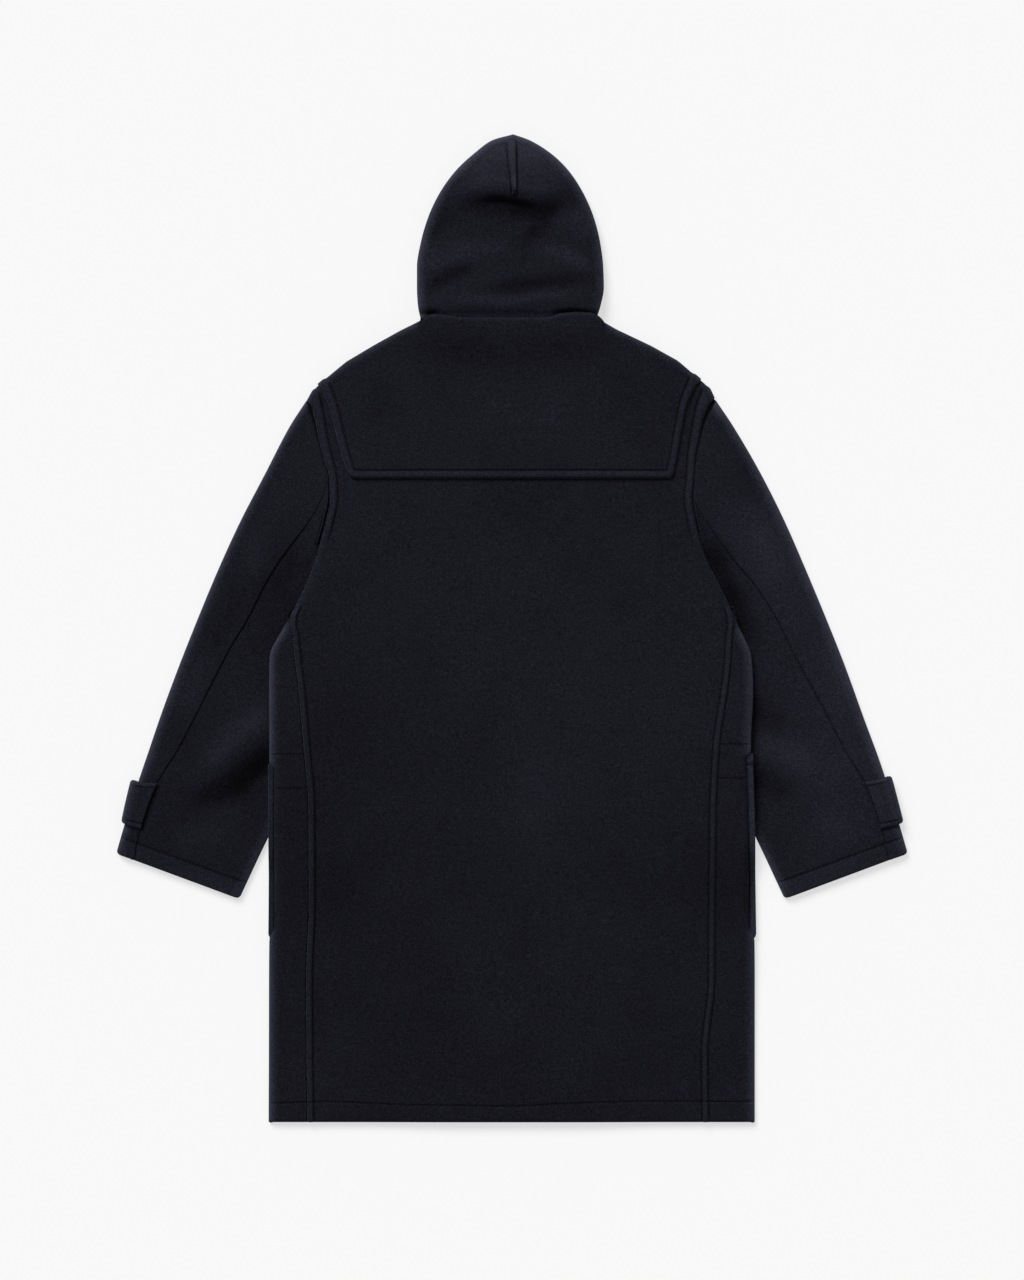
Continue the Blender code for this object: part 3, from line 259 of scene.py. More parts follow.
def under_all(x, y):
    """Height of what lies under the back and the hood."""
    return under_fronts(x, y) + lap_lift(x, y)


class Blanket:
    """Height of heavy cloth that bridges what lies under it, read smoothly from a coarse grid."""

    STEP = 10.0
    X0, X1 = -440.0, 440.0
    Y0, Y1 = -700.0, 480.0
    SPREAD = 4                      # cells by which high places widen
    SOFTEN = 3.0                    # cells of blur
    BORDER = 2 * STEP               # a place nearer to the grid's end is read from here

    def __init__(self):
        xs = np.arange(self.X0, self.X1 + 1, self.STEP)
        ys = np.arange(self.Y0, self.Y1 + 1, self.STEP)
        y, x = np.meshgrid(ys, xs, indexing="ij")
        raised = under_all(x, y)
        for axis in (0, 1):
            raised = self.widen(raised, axis)
        for axis in (0, 1):
            raised = self.blur(raised, axis)
        self.heights = raised

    def widen(self, grid, axis):
        best = grid.copy()
        for shift in range(-self.SPREAD, self.SPREAD + 1):
            best = np.maximum(best, np.roll(grid, shift, axis))
        return best

    def blur(self, grid, axis):
        reach = int(self.SOFTEN * 3)
        weights = np.exp(-0.5 * (np.arange(-reach, reach + 1) / self.SOFTEN) ** 2)
        weights /= weights.sum()
        total = np.zeros_like(grid)
        for shift, weight in zip(range(-reach, reach + 1), weights):
            total += weight * np.roll(grid, shift, axis)
        return total

    def at(self, x, y):
        x, y = np.broadcast_arrays(np.asarray(x, float), np.asarray(y, float))
        u = (np.clip(x, self.X0 + self.BORDER, self.X1 - self.BORDER) - self.X0) / self.STEP
        v = (np.clip(y, self.Y0 + self.BORDER, self.Y1 - self.BORDER) - self.Y0) / self.STEP
        i, j = np.floor(v).astype(int), np.floor(u).astype(int)
        weights_y = self.weights(v - i)
        weights_x = self.weights(u - j)
        total = np.zeros(x.shape)
        for a in range(4):
            for b in range(4):
                total += weights_y[a] * weights_x[b] * self.heights[i + a - 1, j + b - 1]
        return total

    @staticmethod
    def weights(t):
        """Cubic B-spline weights, which stay smooth across the cells."""
        return ((1 - t) ** 3 / 6, (3 * t**3 - 6 * t**2 + 4) / 6,
                (-3 * t**3 + 3 * t**2 + 3 * t + 1) / 6, t**3 / 6)


blanket = Blanket()


# ---- folds, welts and stitched lines -----------------------------------------
Fold = namedtuple("Fold", "path width height")
FOLD_SHADE = 0.11                   # painted shade for each millimetre of a fold's height: troughs darker, ridges lighter
FOLD_FADES = 0.3                    # share of its length over which a fold fades in or out
FOLD_AT_END = 0.12                  # and what is left of it at its end
FOLD_WIDTHS = 3.0                   # a fold is felt over this many of its widths


def smooth_path(points, steps=8):
    """Points of a soft curve through the given ones."""
    p = np.asarray(points, float)
    if len(p) < 3:
        t = np.linspace(0, 1, steps + 1)[:, None]
        return p[0] + (p[-1] - p[0]) * t
    ends = np.concatenate([[2 * p[0] - p[1]], p, [2 * p[-1] - p[-2]]])
    out = []
    for k in range(1, len(ends) - 2):
        a, b, c, d = ends[k - 1:k + 3]
        for t in np.arange(steps) / steps:
            out.append(0.5 * (2 * b + (c - a) * t + (2 * a - 5 * b + 4 * c - d) * t**2
                              + (3 * b - a - 3 * c + d) * t**3))
    out.append(p[-1])
    return np.array(out)


def from_path(x, y, path):
    """Distance to a path and the share of its length at the nearest point."""
    lengths = np.concatenate([[0], np.cumsum(np.linalg.norm(np.diff(path, axis=0), axis=1))])
    nearest = np.full(x.shape, 1e9)
    share = np.zeros(x.shape)
    for (ax, ay), (bx, by), start, end in zip(path[:-1], path[1:], lengths[:-1], lengths[1:]):
        dx, dy = bx - ax, by - ay
        t = np.clip(((x - ax) * dx + (y - ay) * dy) / (dx * dx + dy * dy + 1e-12), 0, 1)
        distance = np.hypot(x - ax - t * dx, y - ay - t * dy)
        closer = distance < nearest
        nearest = np.where(closer, distance, nearest)
        share = np.where(closer, (start + (end - start) * t) / lengths[-1], share)
    return nearest, share


def relief(height, shade=0.0):
    """Height and painted shade together: shade below 0 paints the cloth darker, above 0 lighter."""
    return np.stack(np.broadcast_arrays(np.asarray(height, float), shade), axis=-1)


def folds_at(x, y, folds):
    """Soft ridges and troughs, which fade out along their length; painted shade makes troughs darker and
    ridges lighter.
    """
    x, y = np.broadcast_arrays(x, y)
    height = np.zeros(x.shape)
    for fold in folds:
        path = smooth_path(fold.path)
        reach = FOLD_WIDTHS * fold.width
        low, high = path.min(axis=0) - reach, path.max(axis=0) + reach
        near = (x > low[0]) & (x < high[0]) & (y > low[1]) & (y < high[1])
        if near.any():
            distance, share = from_path(x[near], y[near], path)
            along = smoothstep(share / FOLD_FADES) * smoothstep((1 - share) / FOLD_FADES)
            along = FOLD_AT_END + (1 - FOLD_AT_END) * along
            height[near] += fold.height * along * np.exp(-(distance / fold.width) ** 2)
    return relief(height, FOLD_SHADE * height)


def groove(distance, depth=1.1, half=1.0, dark=0.6):
    """A stitched line: the thread pulls the cloth in, and painted shade darkens the groove."""
    pressed = np.exp(-(distance / half) ** 2)
    return relief(-depth * pressed, -dark * pressed)


def welt(distance, width, height, depth=1.4):
    """Doubled band along an edge, painted lighter as a highlight, with the stitched groove on its inner side.
    """
    share = np.clip(distance / width, 0, 1)
    band = (1 - np.abs(2 * share - 1) ** 2.2) * (distance < width)
    return relief(height * band, 0.30 * band) + groove(distance - width, depth)


def painted_rim_light(distance, strength=1.65, reach=15.0):
    """Painted rim light that grows towards a folded edge, as grazing light on the nap there."""
    return relief(0.0, strength * (0.85 * np.clip(1 - distance / reach, 0, 1) ** 1.5
                                   + 0.35 * np.clip(1 - distance / (0.35 * reach), 0, 1)))


Tone = namedtuple("Tone", "x y radius shade")


def toned(x, y, tones):
    """Broad soft patches painted a little lighter or darker."""
    x, y = np.broadcast_arrays(x, y)
    total = np.zeros(x.shape)
    for tone in tones:
        total += tone.shade * np.exp(-((x - tone.x) ** 2 + (y - tone.y) ** 2) / tone.radius**2)
    return relief(0.0, total)


# broad patches over the body, painted a little darker or lighter
BODY_TONES = named(Tone, (-235.0, -150.0, 170.0, -0.17), (-250.0, -420.0, 190.0, -0.14),
    (-60.0, -600.0, 200.0, -0.12), (170.0, -590.0, 190.0, -0.10), (300.0, -300.0, 130.0, -0.17),
    (20.0, 170.0, 70.0, -0.10), (60.0, -330.0, 110.0, 0.05), (-60.0, 20.0, 120.0, 0.04),
    (150.0, -80.0, 90.0, 0.01), (-120.0, -250.0, 70.0, 0.05), (120.0, -470.0, 70.0, 0.06),
    (-20.0, -480.0, 60.0, 0.05))
# painted light and shade on the sleeves: painted shadow beside the body's edges and in the left sleeve's
# crease, the right sleeve painted lighter as if lit, and painted light over the body's cast shadow at the
# right shoulder's tip
SLEEVE_LIGHT_AND_SHADE = {
    -1: named(Tone, (-300.0, -158.0, 24.0, -0.40), (-338.0, -190.0, 26.0, -0.35),
        (-300.0, -100.0, 22.0, 0.10), (-345.0, -150.0, 100.0, -0.10), (-270.0, 20.0, 80.0, -0.29),
        (-400.0, -240.0, 90.0, -0.12)),
    1: named(Tone, (330.0, 110.0, 110.0, 0.34), (400.0, -60.0, 100.0, 0.28), (440.0, -190.0, 90.0, 0.20),
        (254.0, 88.0, 20.0, -0.50), (276.0, 42.0, 24.0, -0.45), (300.0, -8.0, 22.0, -0.35),
        (330.0, -70.0, 50.0, -0.12), (259.0, 275.0, 10.0, 0.9)),
}


def rolled(distance, reach, drop, dark=0.7):
    """A rounded edge: 0 from reach inwards, down to minus drop at the edge itself; painted shade darkens it
    towards the edge by dark.
    """
    inward = np.clip(1 - distance / reach, 0, 1)
    return relief(-drop * (1 - np.sqrt(1 - inward**2)), -dark * inward**1.5)


# ---- grids and meshes --------------------------------------------------------
def marks(length, fine_at, coarse=COARSE, fine=FINE, growth=0.16, clear=2.2):
    """Places from 0 to length, close together beside fine_at and at the ends, wider elsewhere."""
    at = [0.0]
    spots = np.array(sorted(set(list(fine_at) + [0.0, length])))
    while at[-1] < length:
        away = np.min(np.abs(spots - at[-1]))
        at.append(at[-1] + min(coarse, fine + growth * max(0.0, away - clear)))
    at = np.array(at)
    return at * (length / at[-1])


def surface_normals(points, towards):
    place = points[..., :3]
    along = np.gradient(place, axis=0)
    across = np.gradient(place, axis=1)
    normal = np.cross(along, across)
    normal /= np.maximum(np.linalg.norm(normal, axis=2, keepdims=True), 1e-9)
    return normal * towards


def plan(x, y, z, raised=None):
    """Grid of x, y, z and shade from its parts; raised is added to z and gives the shade."""
    if raised is None:
        raised = relief(np.zeros(np.broadcast(x, y, z).shape))
    return np.stack(np.broadcast_arrays(np.asarray(x, float), y, z + raised[..., 0], raised[..., 1]), axis=-1)


def add_mesh(name, vertices, faces, look, shade=None, rims=None):
    """Mesh object from arrays of corners and of four-sided faces; rims are the faces of its cut edges."""
    mesh = bpy.data.meshes.new(name)
    mesh.vertices.add(len(vertices))
    mesh.vertices.foreach_set("co", (np.asarray(vertices, float) * MM).astype(np.float32).ravel())
    mesh.loops.add(faces.size)
    mesh.loops.foreach_set("vertex_index", faces.astype(np.int32).ravel())
    mesh.polygons.add(len(faces))
    mesh.polygons.foreach_set("loop_start", (np.arange(len(faces)) * faces.shape[1]).astype(np.int32))
    mesh.update(calc_edges=True)
    if shade is not None:
        attribute = mesh.attributes.new("shade", "FLOAT", "POINT")
        attribute.data.foreach_set("value", np.asarray(shade, np.float32))
    mesh.materials.append(look)
    mesh.shade_smooth()
    if rims is not None:
        sharp = mesh.attributes.get("sharp_face") or mesh.attributes.new("sharp_face", "BOOLEAN", "FACE")
        sharp.data.foreach_set("value", rims)
    made = bpy.data.objects.new(name, mesh)
    bpy.context.scene.collection.objects.link(made)
    return made


def shell(name, outer, inner, look, keep=None):
    """Closed shell between two grids of points."""
    rows, columns = outer.shape[:2]
    if keep is None:
        keep = np.ones((rows - 1, columns - 1), bool)
    used = np.zeros((rows, columns), bool)
    for di in (0, 1):
        for dj in (0, 1):
            used[di:rows - 1 + di, dj:columns - 1 + dj] |= keep
    number = -np.ones((rows, columns), int)
    number[used] = np.arange(used.sum())
    count = int(used.sum())
    vertices = np.concatenate([outer[used], inner[used]])
    shade = vertices[:, 3]
    vertices = vertices[:, :3]
    i, j = np.nonzero(keep)
    ring = np.stack([number[i, j], number[i + 1, j], number[i + 1, j + 1], number[i, j + 1]], axis=1)
    faces = [ring, ring[:, ::-1] + count]
    padded = np.zeros((rows + 1, columns + 1), bool)
    padded[1:-1, 1:-1] = keep
    for di, dj, a, b in ((0, -1, 0, 1), (1, 0, 1, 2), (0, 1, 2, 3), (-1, 0, 3, 0)):
        border = ~padded[i + 1 + di, j + 1 + dj]
        first, second = ring[border, a], ring[border, b]
        faces.append(np.stack([second, first, first + count, second + count], axis=1))
    faces = np.concatenate(faces)
    rims = np.arange(len(faces)) >= 2 * len(ring)
    p = vertices[faces]
    crossed = np.cross(p[:, 1] - p[:, 0], p[:, 2] - p[:, 0]) + np.cross(p[:, 2] - p[:, 0], p[:, 3] - p[:, 0])
    if np.einsum("ij,ij->i", p[:, 0], crossed).sum() < 0:
        faces = faces[:, ::-1]
    return add_mesh(name, vertices, faces, look, shade, rims)


THIN_CLOTH = CLOTH - 0.1            # a wall that lies close to another one
INSIDE_SHADE = 0.6                  # cut edges and the inside are painted darker, as shade


def cloth(name, outer, look, towards, keep=None, thickness=CLOTH, normals=None):
    """A wall of cloth that has the given outer surface."""
    if normals is None:
        normals = surface_normals(outer, towards)
    inner = outer.copy()
    inner[..., :3] -= normals * thickness
    inner[..., 2] = np.maximum(inner[..., 2], 0.0)
    inner[..., 3] -= INSIDE_SHADE
    return shell(name, outer, inner, look, keep)


# a seam allowance: how far beyond the edge, and how far below it
LIP = [(0.4, 1.2), (1.1, 2.2), (2.0, 2.7), (3.2, 2.8), (4.5, 2.8)]
DEEP_LIP = [(0.4, 0.6), (1.1, 1.2), (2.2, 2.0), (4.0, 2.8), (11.0, 3.0)]
# seam allowances are painted darker, as shade in the seam's gap
LIP_SHADE = -0.6
LIP_FROM = 8                        # the way outwards is taken from the edge's own row to this one
LIP_FLAT, LIP_STEEP = 0.65, 0.35    # where the edge lies flatter than that, the allowance is level


def evened(values, reach=6):
    """Running mean along the first axis."""
    padded = np.concatenate([np.repeat(values[:1], reach, 0), values, np.repeat(values[-1:], reach, 0)])
    total = np.cumsum(np.concatenate([np.zeros_like(padded[:1]), padded]), axis=0)
    span = 2 * reach + 1
    return (total[span:] - total[:-span]) / span


def with_lip(points, towards, axis, first=True, lip=LIP, normals=None):
    """The same grid with a seam allowance that runs on under the neighbouring piece."""
    if normals is None:
        normals = surface_normals(points, towards)
    p = np.moveaxis(points, axis, 0)
    n = np.moveaxis(normals, axis, 0)
    if not first:
        p, n = p[::-1], n[::-1]
    up = evened(n[LIP_FROM])
    level = smoothstep((np.abs(up[..., 2:]) - LIP_STEEP) / (LIP_FLAT - LIP_STEEP))
    up = up * (1 - level) + np.array([0.0, 0.0, 1.0]) * np.sign(up[..., 2:]) * level
    up /= np.maximum(np.linalg.norm(up, axis=-1, keepdims=True), 1e-9)
    sink = 0.3 + 0.7 * np.abs(up[..., 2:])
    along = evened(np.gradient(evened(p[0, ..., :3], 3), axis=0), 3)
    outwards = np.cross(up, along)
    outwards /= np.maximum(np.linalg.norm(outwards, axis=-1, keepdims=True), 1e-9)
    outwards *= np.sign(np.sum(outwards * evened(p[0, ..., :3] - p[LIP_FROM, ..., :3])))
    edge = p[0, ..., :3]
    added = np.array([edge + outwards * beyond - up * sink * below for beyond, below in lip[::-1]])
    added[..., 2] = np.maximum(added[..., 2], 0.0)
    added = np.concatenate([added, np.full(added.shape[:-1] + (1,), LIP_SHADE)], axis=-1)
    p = np.concatenate([added, p])
    if not first:
        p = p[::-1]
    return np.moveaxis(p, 0, axis)


Stitch = namedtuple("Stitch", "pitch length width height")
STITCH = Stitch(4.4, 3.1, 0.75, 0.5)


def dress(piece, node):
    """Body and replaced node of one piece."""
    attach(piece, "root")
    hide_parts(node)


def dress_cloth(piece, node):
    """The same, for a piece of cloth."""
    dress(piece, node)


def along_line(points, pitch):
    """Middles and directions of the stitches along a line of points."""
    steps = np.linalg.norm(np.diff(points, axis=0), axis=1)
    total = np.concatenate([[0.0], np.cumsum(steps)])
    at = np.arange(0.5 * pitch, total[-1], pitch)
    behind, middle, ahead = (
        np.stack([np.interp(at + shift * pitch, total, points[:, k]) for k in range(3)], -1)
        for shift in (-0.4, 0.0, 0.4))
    direction = ahead - behind
    return middle, direction / np.maximum(np.linalg.norm(direction, axis=1, keepdims=True), 1e-9)


def make_stitches(name, lines, look, node, up=(0.0, 0.0, 1.0), size=STITCH):
    """All the visible thread of one piece, as one mesh of short pulled-in loops."""
    vertices, faces = [], []
    ring = np.array([(0, 2, 4), (2, 1, 4), (1, 3, 4), (3, 0, 4), (2, 0, 5), (1, 2, 5), (3, 1, 5), (0, 3, 5)])
    for line in lines:
        if len(line) < 2:
            continue
        middle, direction = along_line(np.asarray(line, float)[:, :3], size.pitch)
        across = np.cross(np.asarray(up), direction)
        across /= np.maximum(np.linalg.norm(across, axis=1, keepdims=True), 1e-9)
        rise = np.cross(direction, across)
        ends = direction * size.length / 2
        dip = rise * size.height
        corners = [middle - ends - dip, middle + ends - dip, middle + across * size.width / 2,
                   middle - across * size.width / 2, middle + dip, middle - dip]
        start = len(vertices)
        vertices.extend(np.stack(corners, axis=1).reshape(-1, 3))
        faces.extend((ring[None] + start + 6 * np.arange(len(middle))[:, None, None]).reshape(-1, 3))
    dress(add_mesh(name, np.array(vertices), np.array(faces), look), node)


def traced(grid, distance, value, axis, wanted=None):
    """Points of a grid where a distance comes nearest to a value, one in each row or column."""
    nearest = np.argmin(np.abs(distance - value), axis=axis)
    index = (np.arange(grid.shape[0]), nearest) if axis == 1 else (nearest, np.arange(grid.shape[1]))
    points = grid[index][:, :3]
    good = np.abs(distance[index] - value) < 1.5
    if wanted is not None:
        good &= wanted[index]
    return points[good]


# ---- materials ---------------------------------------------------------------
class Nodes:
    """Short hand for building a node tree."""

    def __init__(self, name):
        self.material = bpy.data.materials.new(name)
        self.material.use_nodes = True
        self.tree = self.material.node_tree
        self.shader = self.tree.nodes["Principled BSDF"]
        self.place = self.tree.nodes.new("ShaderNodeTexCoord").outputs["Object"]

    def add(self, kind, **values):
        node = self.tree.nodes.new(kind)
        for key, value in values.items():
            if hasattr(node, key):
                setattr(node, key, value)
            else:
                node.inputs[key.replace("_", " ").title()].default_value = value
        return node

    def link(self, source, target):
        self.tree.links.new(source, target)

    def noise(self, scale, detail=3.0, roughness=0.55, stretch=None, distortion=0.0):
        """Noise in [0, 1]; scale is in cells a metre."""
        node = self.add("ShaderNodeTexNoise", scale=scale, detail=detail, roughness=roughness,
                        distortion=distortion)
        source = self.place
        if stretch is not None:
            mapping = self.add("ShaderNodeMapping")
            mapping.inputs["Scale"].default_value = stretch[0]
            mapping.inputs["Rotation"].default_value = stretch[1]
            self.link(source, mapping.inputs["Vector"])
            source = mapping.outputs["Vector"]
        self.link(source, node.inputs["Vector"])
        return node.outputs["Fac"]

    def math(self, operation, a, b, c=None):
        node = self.add("ShaderNodeMath", operation=operation)
        for socket, value in zip(node.inputs, (a, b, c)):
            if value is None:
                continue
            if isinstance(value, (int, float)):
                socket.default_value = value
            else:
                self.link(value, socket)
        return node.outputs[0]

    def weighted(self, *parts):
        """Sum of sources, each times its weight."""
        total = None
        for source, weight in parts:
            scaled = self.math("MULTIPLY", source, weight)
            total = scaled if total is None else self.math("ADD", total, scaled)
        return total

    def finish(self, **values):
        """Plain values of the shader, by the names of its sockets."""
        for key, value in values.items():
            self.shader.inputs[key.replace("_", " ")].default_value = value
        return self.material

    def bump(self, height, strength, distance):
        node = self.add("ShaderNodeBump", strength=strength, distance=distance)
        self.link(height, node.inputs["Height"])
        self.link(node.outputs["Normal"], self.shader.inputs["Normal"])

    def color(self, factor, stops):
        """Base colour from a ramp over a factor."""
        node = self.add("ShaderNodeValToRGB")
        elements = node.color_ramp.elements
        while len(elements) < len(stops):
            elements.new(0.5)
        for element, (position, color) in zip(elements, stops):
            element.position = position
            element.color = (*color, 1.0)
        self.link(factor, node.inputs["Fac"])
        self.link(node.outputs["Color"], self.shader.inputs["Base Color"])


def melton(name, color):
    """Milled wool: matt, with a short nap that catches grazing light, and pale flecks of fibre; the shade
    attribute paints light and shade into its colour.
    """
    n = Nodes(name)
    coarse = n.noise(14.0, 2.0)
    nap = n.noise(520.0, 5.0, 0.7)
    clumps = n.noise(190.0, 3.0, 0.6)
    along, across = (n.noise(1300.0, 2.0, 0.6, stretch=(scale, (0.0, 0.0, turn)), distortion=0.8)
                     for scale, turn in (((0.22, 1.0, 1.0), 0.5), ((1.0, 0.22, 1.0), 0.3)))
    fibres = n.math("MAXIMUM", along, across)
    grain = n.weighted((nap, 0.5), (fibres, 0.5))
    tone = n.weighted((grain, 0.86), (clumps, 0.09), (coarse, 0.05))
    # painted light and shade: the shade attribute moves the colour ramp darker or lighter
    shade = n.add("ShaderNodeAttribute", attribute_name="shade").outputs["Fac"]
    tone = n.math("ADD", tone, n.math("MULTIPLY", shade, 0.16))
    stops = [(0.32, 0.10), (0.43, 0.50), (0.51, 1.0), (0.59, 1.75), (0.70, 3.2), (0.84, 5.0)]
    n.color(tone, [(at, tuple(c * k for c in color)) for at, k in stops])
    n.bump(n.math("ADD", grain, n.math("MULTIPLY", clumps, 0.3)), 0.8, 0.0009)
    return n.finish(Roughness=1.0, Specular_IOR_Level=0.05, Sheen_Weight=0.10, Sheen_Roughness=0.30,
                    Sheen_Tint=(0.60, 0.66, 0.90, 1.0))


def thread_look():
    """Matt polyester thread, twisted."""
    n = Nodes("thread")
    twist = n.noise(2600.0, 2.0, 0.5, stretch=((1.0, 0.3, 1.0), (0.0, 0.0, 0.7)))
    n.color(twist, [(0.35, (0.006, 0.0062, 0.009)), (0.6, (0.013, 0.0135, 0.019))])
    return n.finish(Roughness=0.7)


def horn_look():
    """Dark polished horn with long pale streaks."""
    n = Nodes("horn_look")
    streak = n.noise(240.0, 5.0, 0.6, stretch=((1.0, 0.07, 1.0), (0.0, 0.0, 0.03)), distortion=0.6)
    cloud = n.noise(60.0, 2.0, 0.5)
    n.color(n.weighted((streak, 0.7), (cloud, 0.3)),
            [(0.30, (0.012, 0.007, 0.004)), (0.48, (0.045, 0.024, 0.012)), (0.60, (0.14, 0.085, 0.045)),
             (0.72, (0.30, 0.21, 0.13))])
    n.bump(streak, 0.15, 0.0003)
    return n.finish(Roughness=0.32)


def leather_look():
    """Nearly black leather with a fine pebbled grain and rubbed high places."""
    n = Nodes("leather_look")
    pebble = n.noise(1500.0, 3.0, 0.6)
    wear = n.noise(120.0, 3.0, 0.6)
    n.color(n.weighted((pebble, 0.5), (wear, 0.5)),
            [(0.35, (0.006, 0.005, 0.0045)), (0.52, (0.016, 0.013, 0.011)), (0.68, (0.040, 0.031, 0.025))])
    n.bump(pebble, 0.5, 0.0003)
    return n.finish(Roughness=0.55)


# ---- body --------------------------------------------------------------------
HEM_STITCH = named(TopPoint, (-303.0, 23.5), (-224.0, 25.4), (-145.0, 22.2), (0.0, 20.4), (96.0, 24.7),
    (186.0, 26.0), (303.0, 25.4))
HEM_STITCH_UP = 24.5                # mean height of that line at the fronts
HEM_MARKS = [21.0, 24.0, 26.5]      # the back's rows lie closer together here
HEM_EDGE = (5.0, 2.8, 0.0)          # reach, drop and shade of a rounded edge
PRESSED_EDGE = (1.8, 1.3, 0.45)
BAND = 24.0                         # within this much of an edge the columns run along it
FAR = 60.0                          # stands for any distance well inside a piece
NOWHERE = 999.0                     # a distance that no traced line comes near
SIDE_WELT = 8.4                     # width of the stitched band along the side seams
ARMHOLE_WELT = 10.0
WELT_RISE = 2.2
ARMHOLE_WELT_FROM, ARMHOLE_WELT_WHOLE = 92.0, 137.0     # it fades in over these heights
ARMHOLE_STITCH = (120.0, YOKE_HEM_Y + 70.0)
SIDE_STITCH_TOP_Y = STRIP_TOP_Y - 8.0
EDGE_STEP = 1.7                     # how far a thick edge stands out where it wraps round the shoulder
EDGE_STEP_FROM, EDGE_STEP_OVER = 6.0, 5.0
BACK_TUCK = 8.0                     # the back ends this far below the neck, under the hood
BACK_OPEN_HALF, YOKE_OPEN_HALF = 114.0, 112.0       # nothing is folded over between the shoulders
SHOULDER_RIM_LIGHT = (0.9, 12.0)          # strength and reach of the painted rim light along the shoulders' folds
NECK_FREE, NECK_FREE_OVER = 118.0, 8.0
BACK_FOLDS = [
    Fold([(-155.0, 120.0), (-140.0, 108.0), (-118.0, 96.0)], 16.0, -0.7),
    Fold([(60.0, 78.0), (78.0, 70.0), (100.0, 66.0)], 20.0, -0.7),
    Fold([(118.0, 35.0), (136.0, 20.0), (150.0, 0.0)], 18.0, -0.6),
    Fold([(-140.0, -478.0), (-100.0, -486.0), (-50.0, -492.0)], 15.0, -0.8),
    Fold([(12.0, -360.0), (14.0, -390.0), (6.0, -420.0)], 18.0, -0.7),
    Fold([(-200.0, -300.0), (-120.0, -330.0), (-40.0, -322.0)], 30.0, 0.7),
    Fold([(60.0, -140.0), (30.0, -200.0), (40.0, -270.0)], 34.0, 0.8),
    Fold([(150.0, -380.0), (170.0, -440.0), (160.0, -520.0)], 28.0, -0.7),
    Fold([(-30.0, 30.0), (-60.0, -40.0), (-50.0, -120.0)], 32.0, 0.6),
    Fold([(-230.0, -420.0), (-215.0, -480.0), (-225.0, -560.0)], 18.0, 0.7),
]


def hem_line(x):
    """Height of the hem's stitched line over the hem."""
    return curve(column(HEM_STITCH, "x"), column(HEM_STITCH, "y"), x)


def hem_relief(x, y):
    """Turned-up hem: a rounded edge, its stitched line and painted rim light along the edge."""
    up = y - HEM_Y
    line = hem_line(x)
    thick = relief(0.5 * smoothstep((line - up) / 3.0))
    return rolled(up, *HEM_EDGE) + groove(up - line, 1.1) + thick + painted_rim_light(up, 0.4, 4.0)


def shoulder_out():
    """Unit vector in plan from the shoulder line outwards, on the positive side."""
    run_x, run_y = float(body_edge(1, ARMHOLE_TOP_Y)) - NECK_HALF, NECK_Y - ARMHOLE_TOP_Y
    length = math.hypot(run_x, run_y)
    return run_y / length, run_x / length


def top_y(table, x):
    return np.interp(x, column(table, "x"), column(table, "y"))


def shoulder_away(x, y):
    """Distance in plan from the shoulder's outline; large beside the neck."""
    away = np.abs(x)
    top = np.where(x < 0, top_y(BACK_TOP[-1], away), top_y(BACK_TOP[1], away))
    beside_neck = FAR * smoothstep((NECK_FREE - away) / NECK_FREE_OVER)
    return np.maximum(top - y, 0.0) * shoulder_out()[1] + beside_neck


def edge_step(away):
    return EDGE_STEP * float(1 - smoothstep((away - EDGE_STEP_FROM) / EDGE_STEP_OVER))


def inward(edge, k, distance, band):
    """Places of column k: at its distance from the edge within the band, then at its share of the rest."""
    return edge - distance if k < len(band) else (edge - band[-1]) * (1 - distance)


def both_halves(half):
    """Grid from side to side, of each half's columns from its edge to the middle."""
    left, right = (np.array(half(side)).transpose(1, 0, 2) for side in (-1, 1))
    return np.concatenate([left, right[:, ::-1][:, 1:]], axis=1)


def back_edge(side, y):
    """Outer edge of the back panel: the side seam, and above it the armhole."""
    y = np.asarray(y, float)
    return np.where(y < STRIP_TOP_Y, side_seam(side, y) - SEAM / 2, body_edge(side, y))


def body_top(x, y):
    """Height of the back's outer surface before its own relief."""
    return STACK + blanket.at(x, y)


HEAD_LIFT = 80.0                    # how far down the sleeve its head stays as high as the body
HEAD_LIFT_NEAR = {-1: 40.0, 1: 46.0}    # and near the underarm
HEAD_LIFT_FROM = {-1: 66.0, 1: 90.0}    # the head line from which it starts to rise
EDGE_REST = {-1: 6.2, 1: 5.2}       # how much higher the body's edge rests at the underarm
EDGE_CLEAR = 1.2                    # room between that edge and the sleeve
UNDERARM_FADE = 26.0                # above the underarm the sleeve comes up to the body over this much
ONTO_FROM_Y, ONTO_OVER = -16.0, 34.0    # below the sleeve's inner edge nothing is under the body


def onto_sleeve(side, x, y, z):
    """How the body's edge comes down onto the sleeve, below the armhole's welt, with painted rim light along
    it.
    """
    over = smoothstep((y - ONTO_FROM_Y) / ONTO_OVER)
    over = over * (1 - smoothstep((y - UNDERARM_Y[side]) / UNDERARM_FADE))
    rest = EDGE_REST[side] * (1 - smoothstep((UNDERARM_Y[side] - y) / HEAD_LIFT_NEAR[side]))
    drop = np.maximum(z - STACK - rest - EDGE_CLEAR - CLOTH, 0.0) * over
    distance = np.maximum(body_edge(side, y) - x, 0.0)
    return rolled(distance, 15.0, 1.0, 0.0) * relief(drop) + painted_rim_light(distance, 0.35, 9.0) * over[..., None]


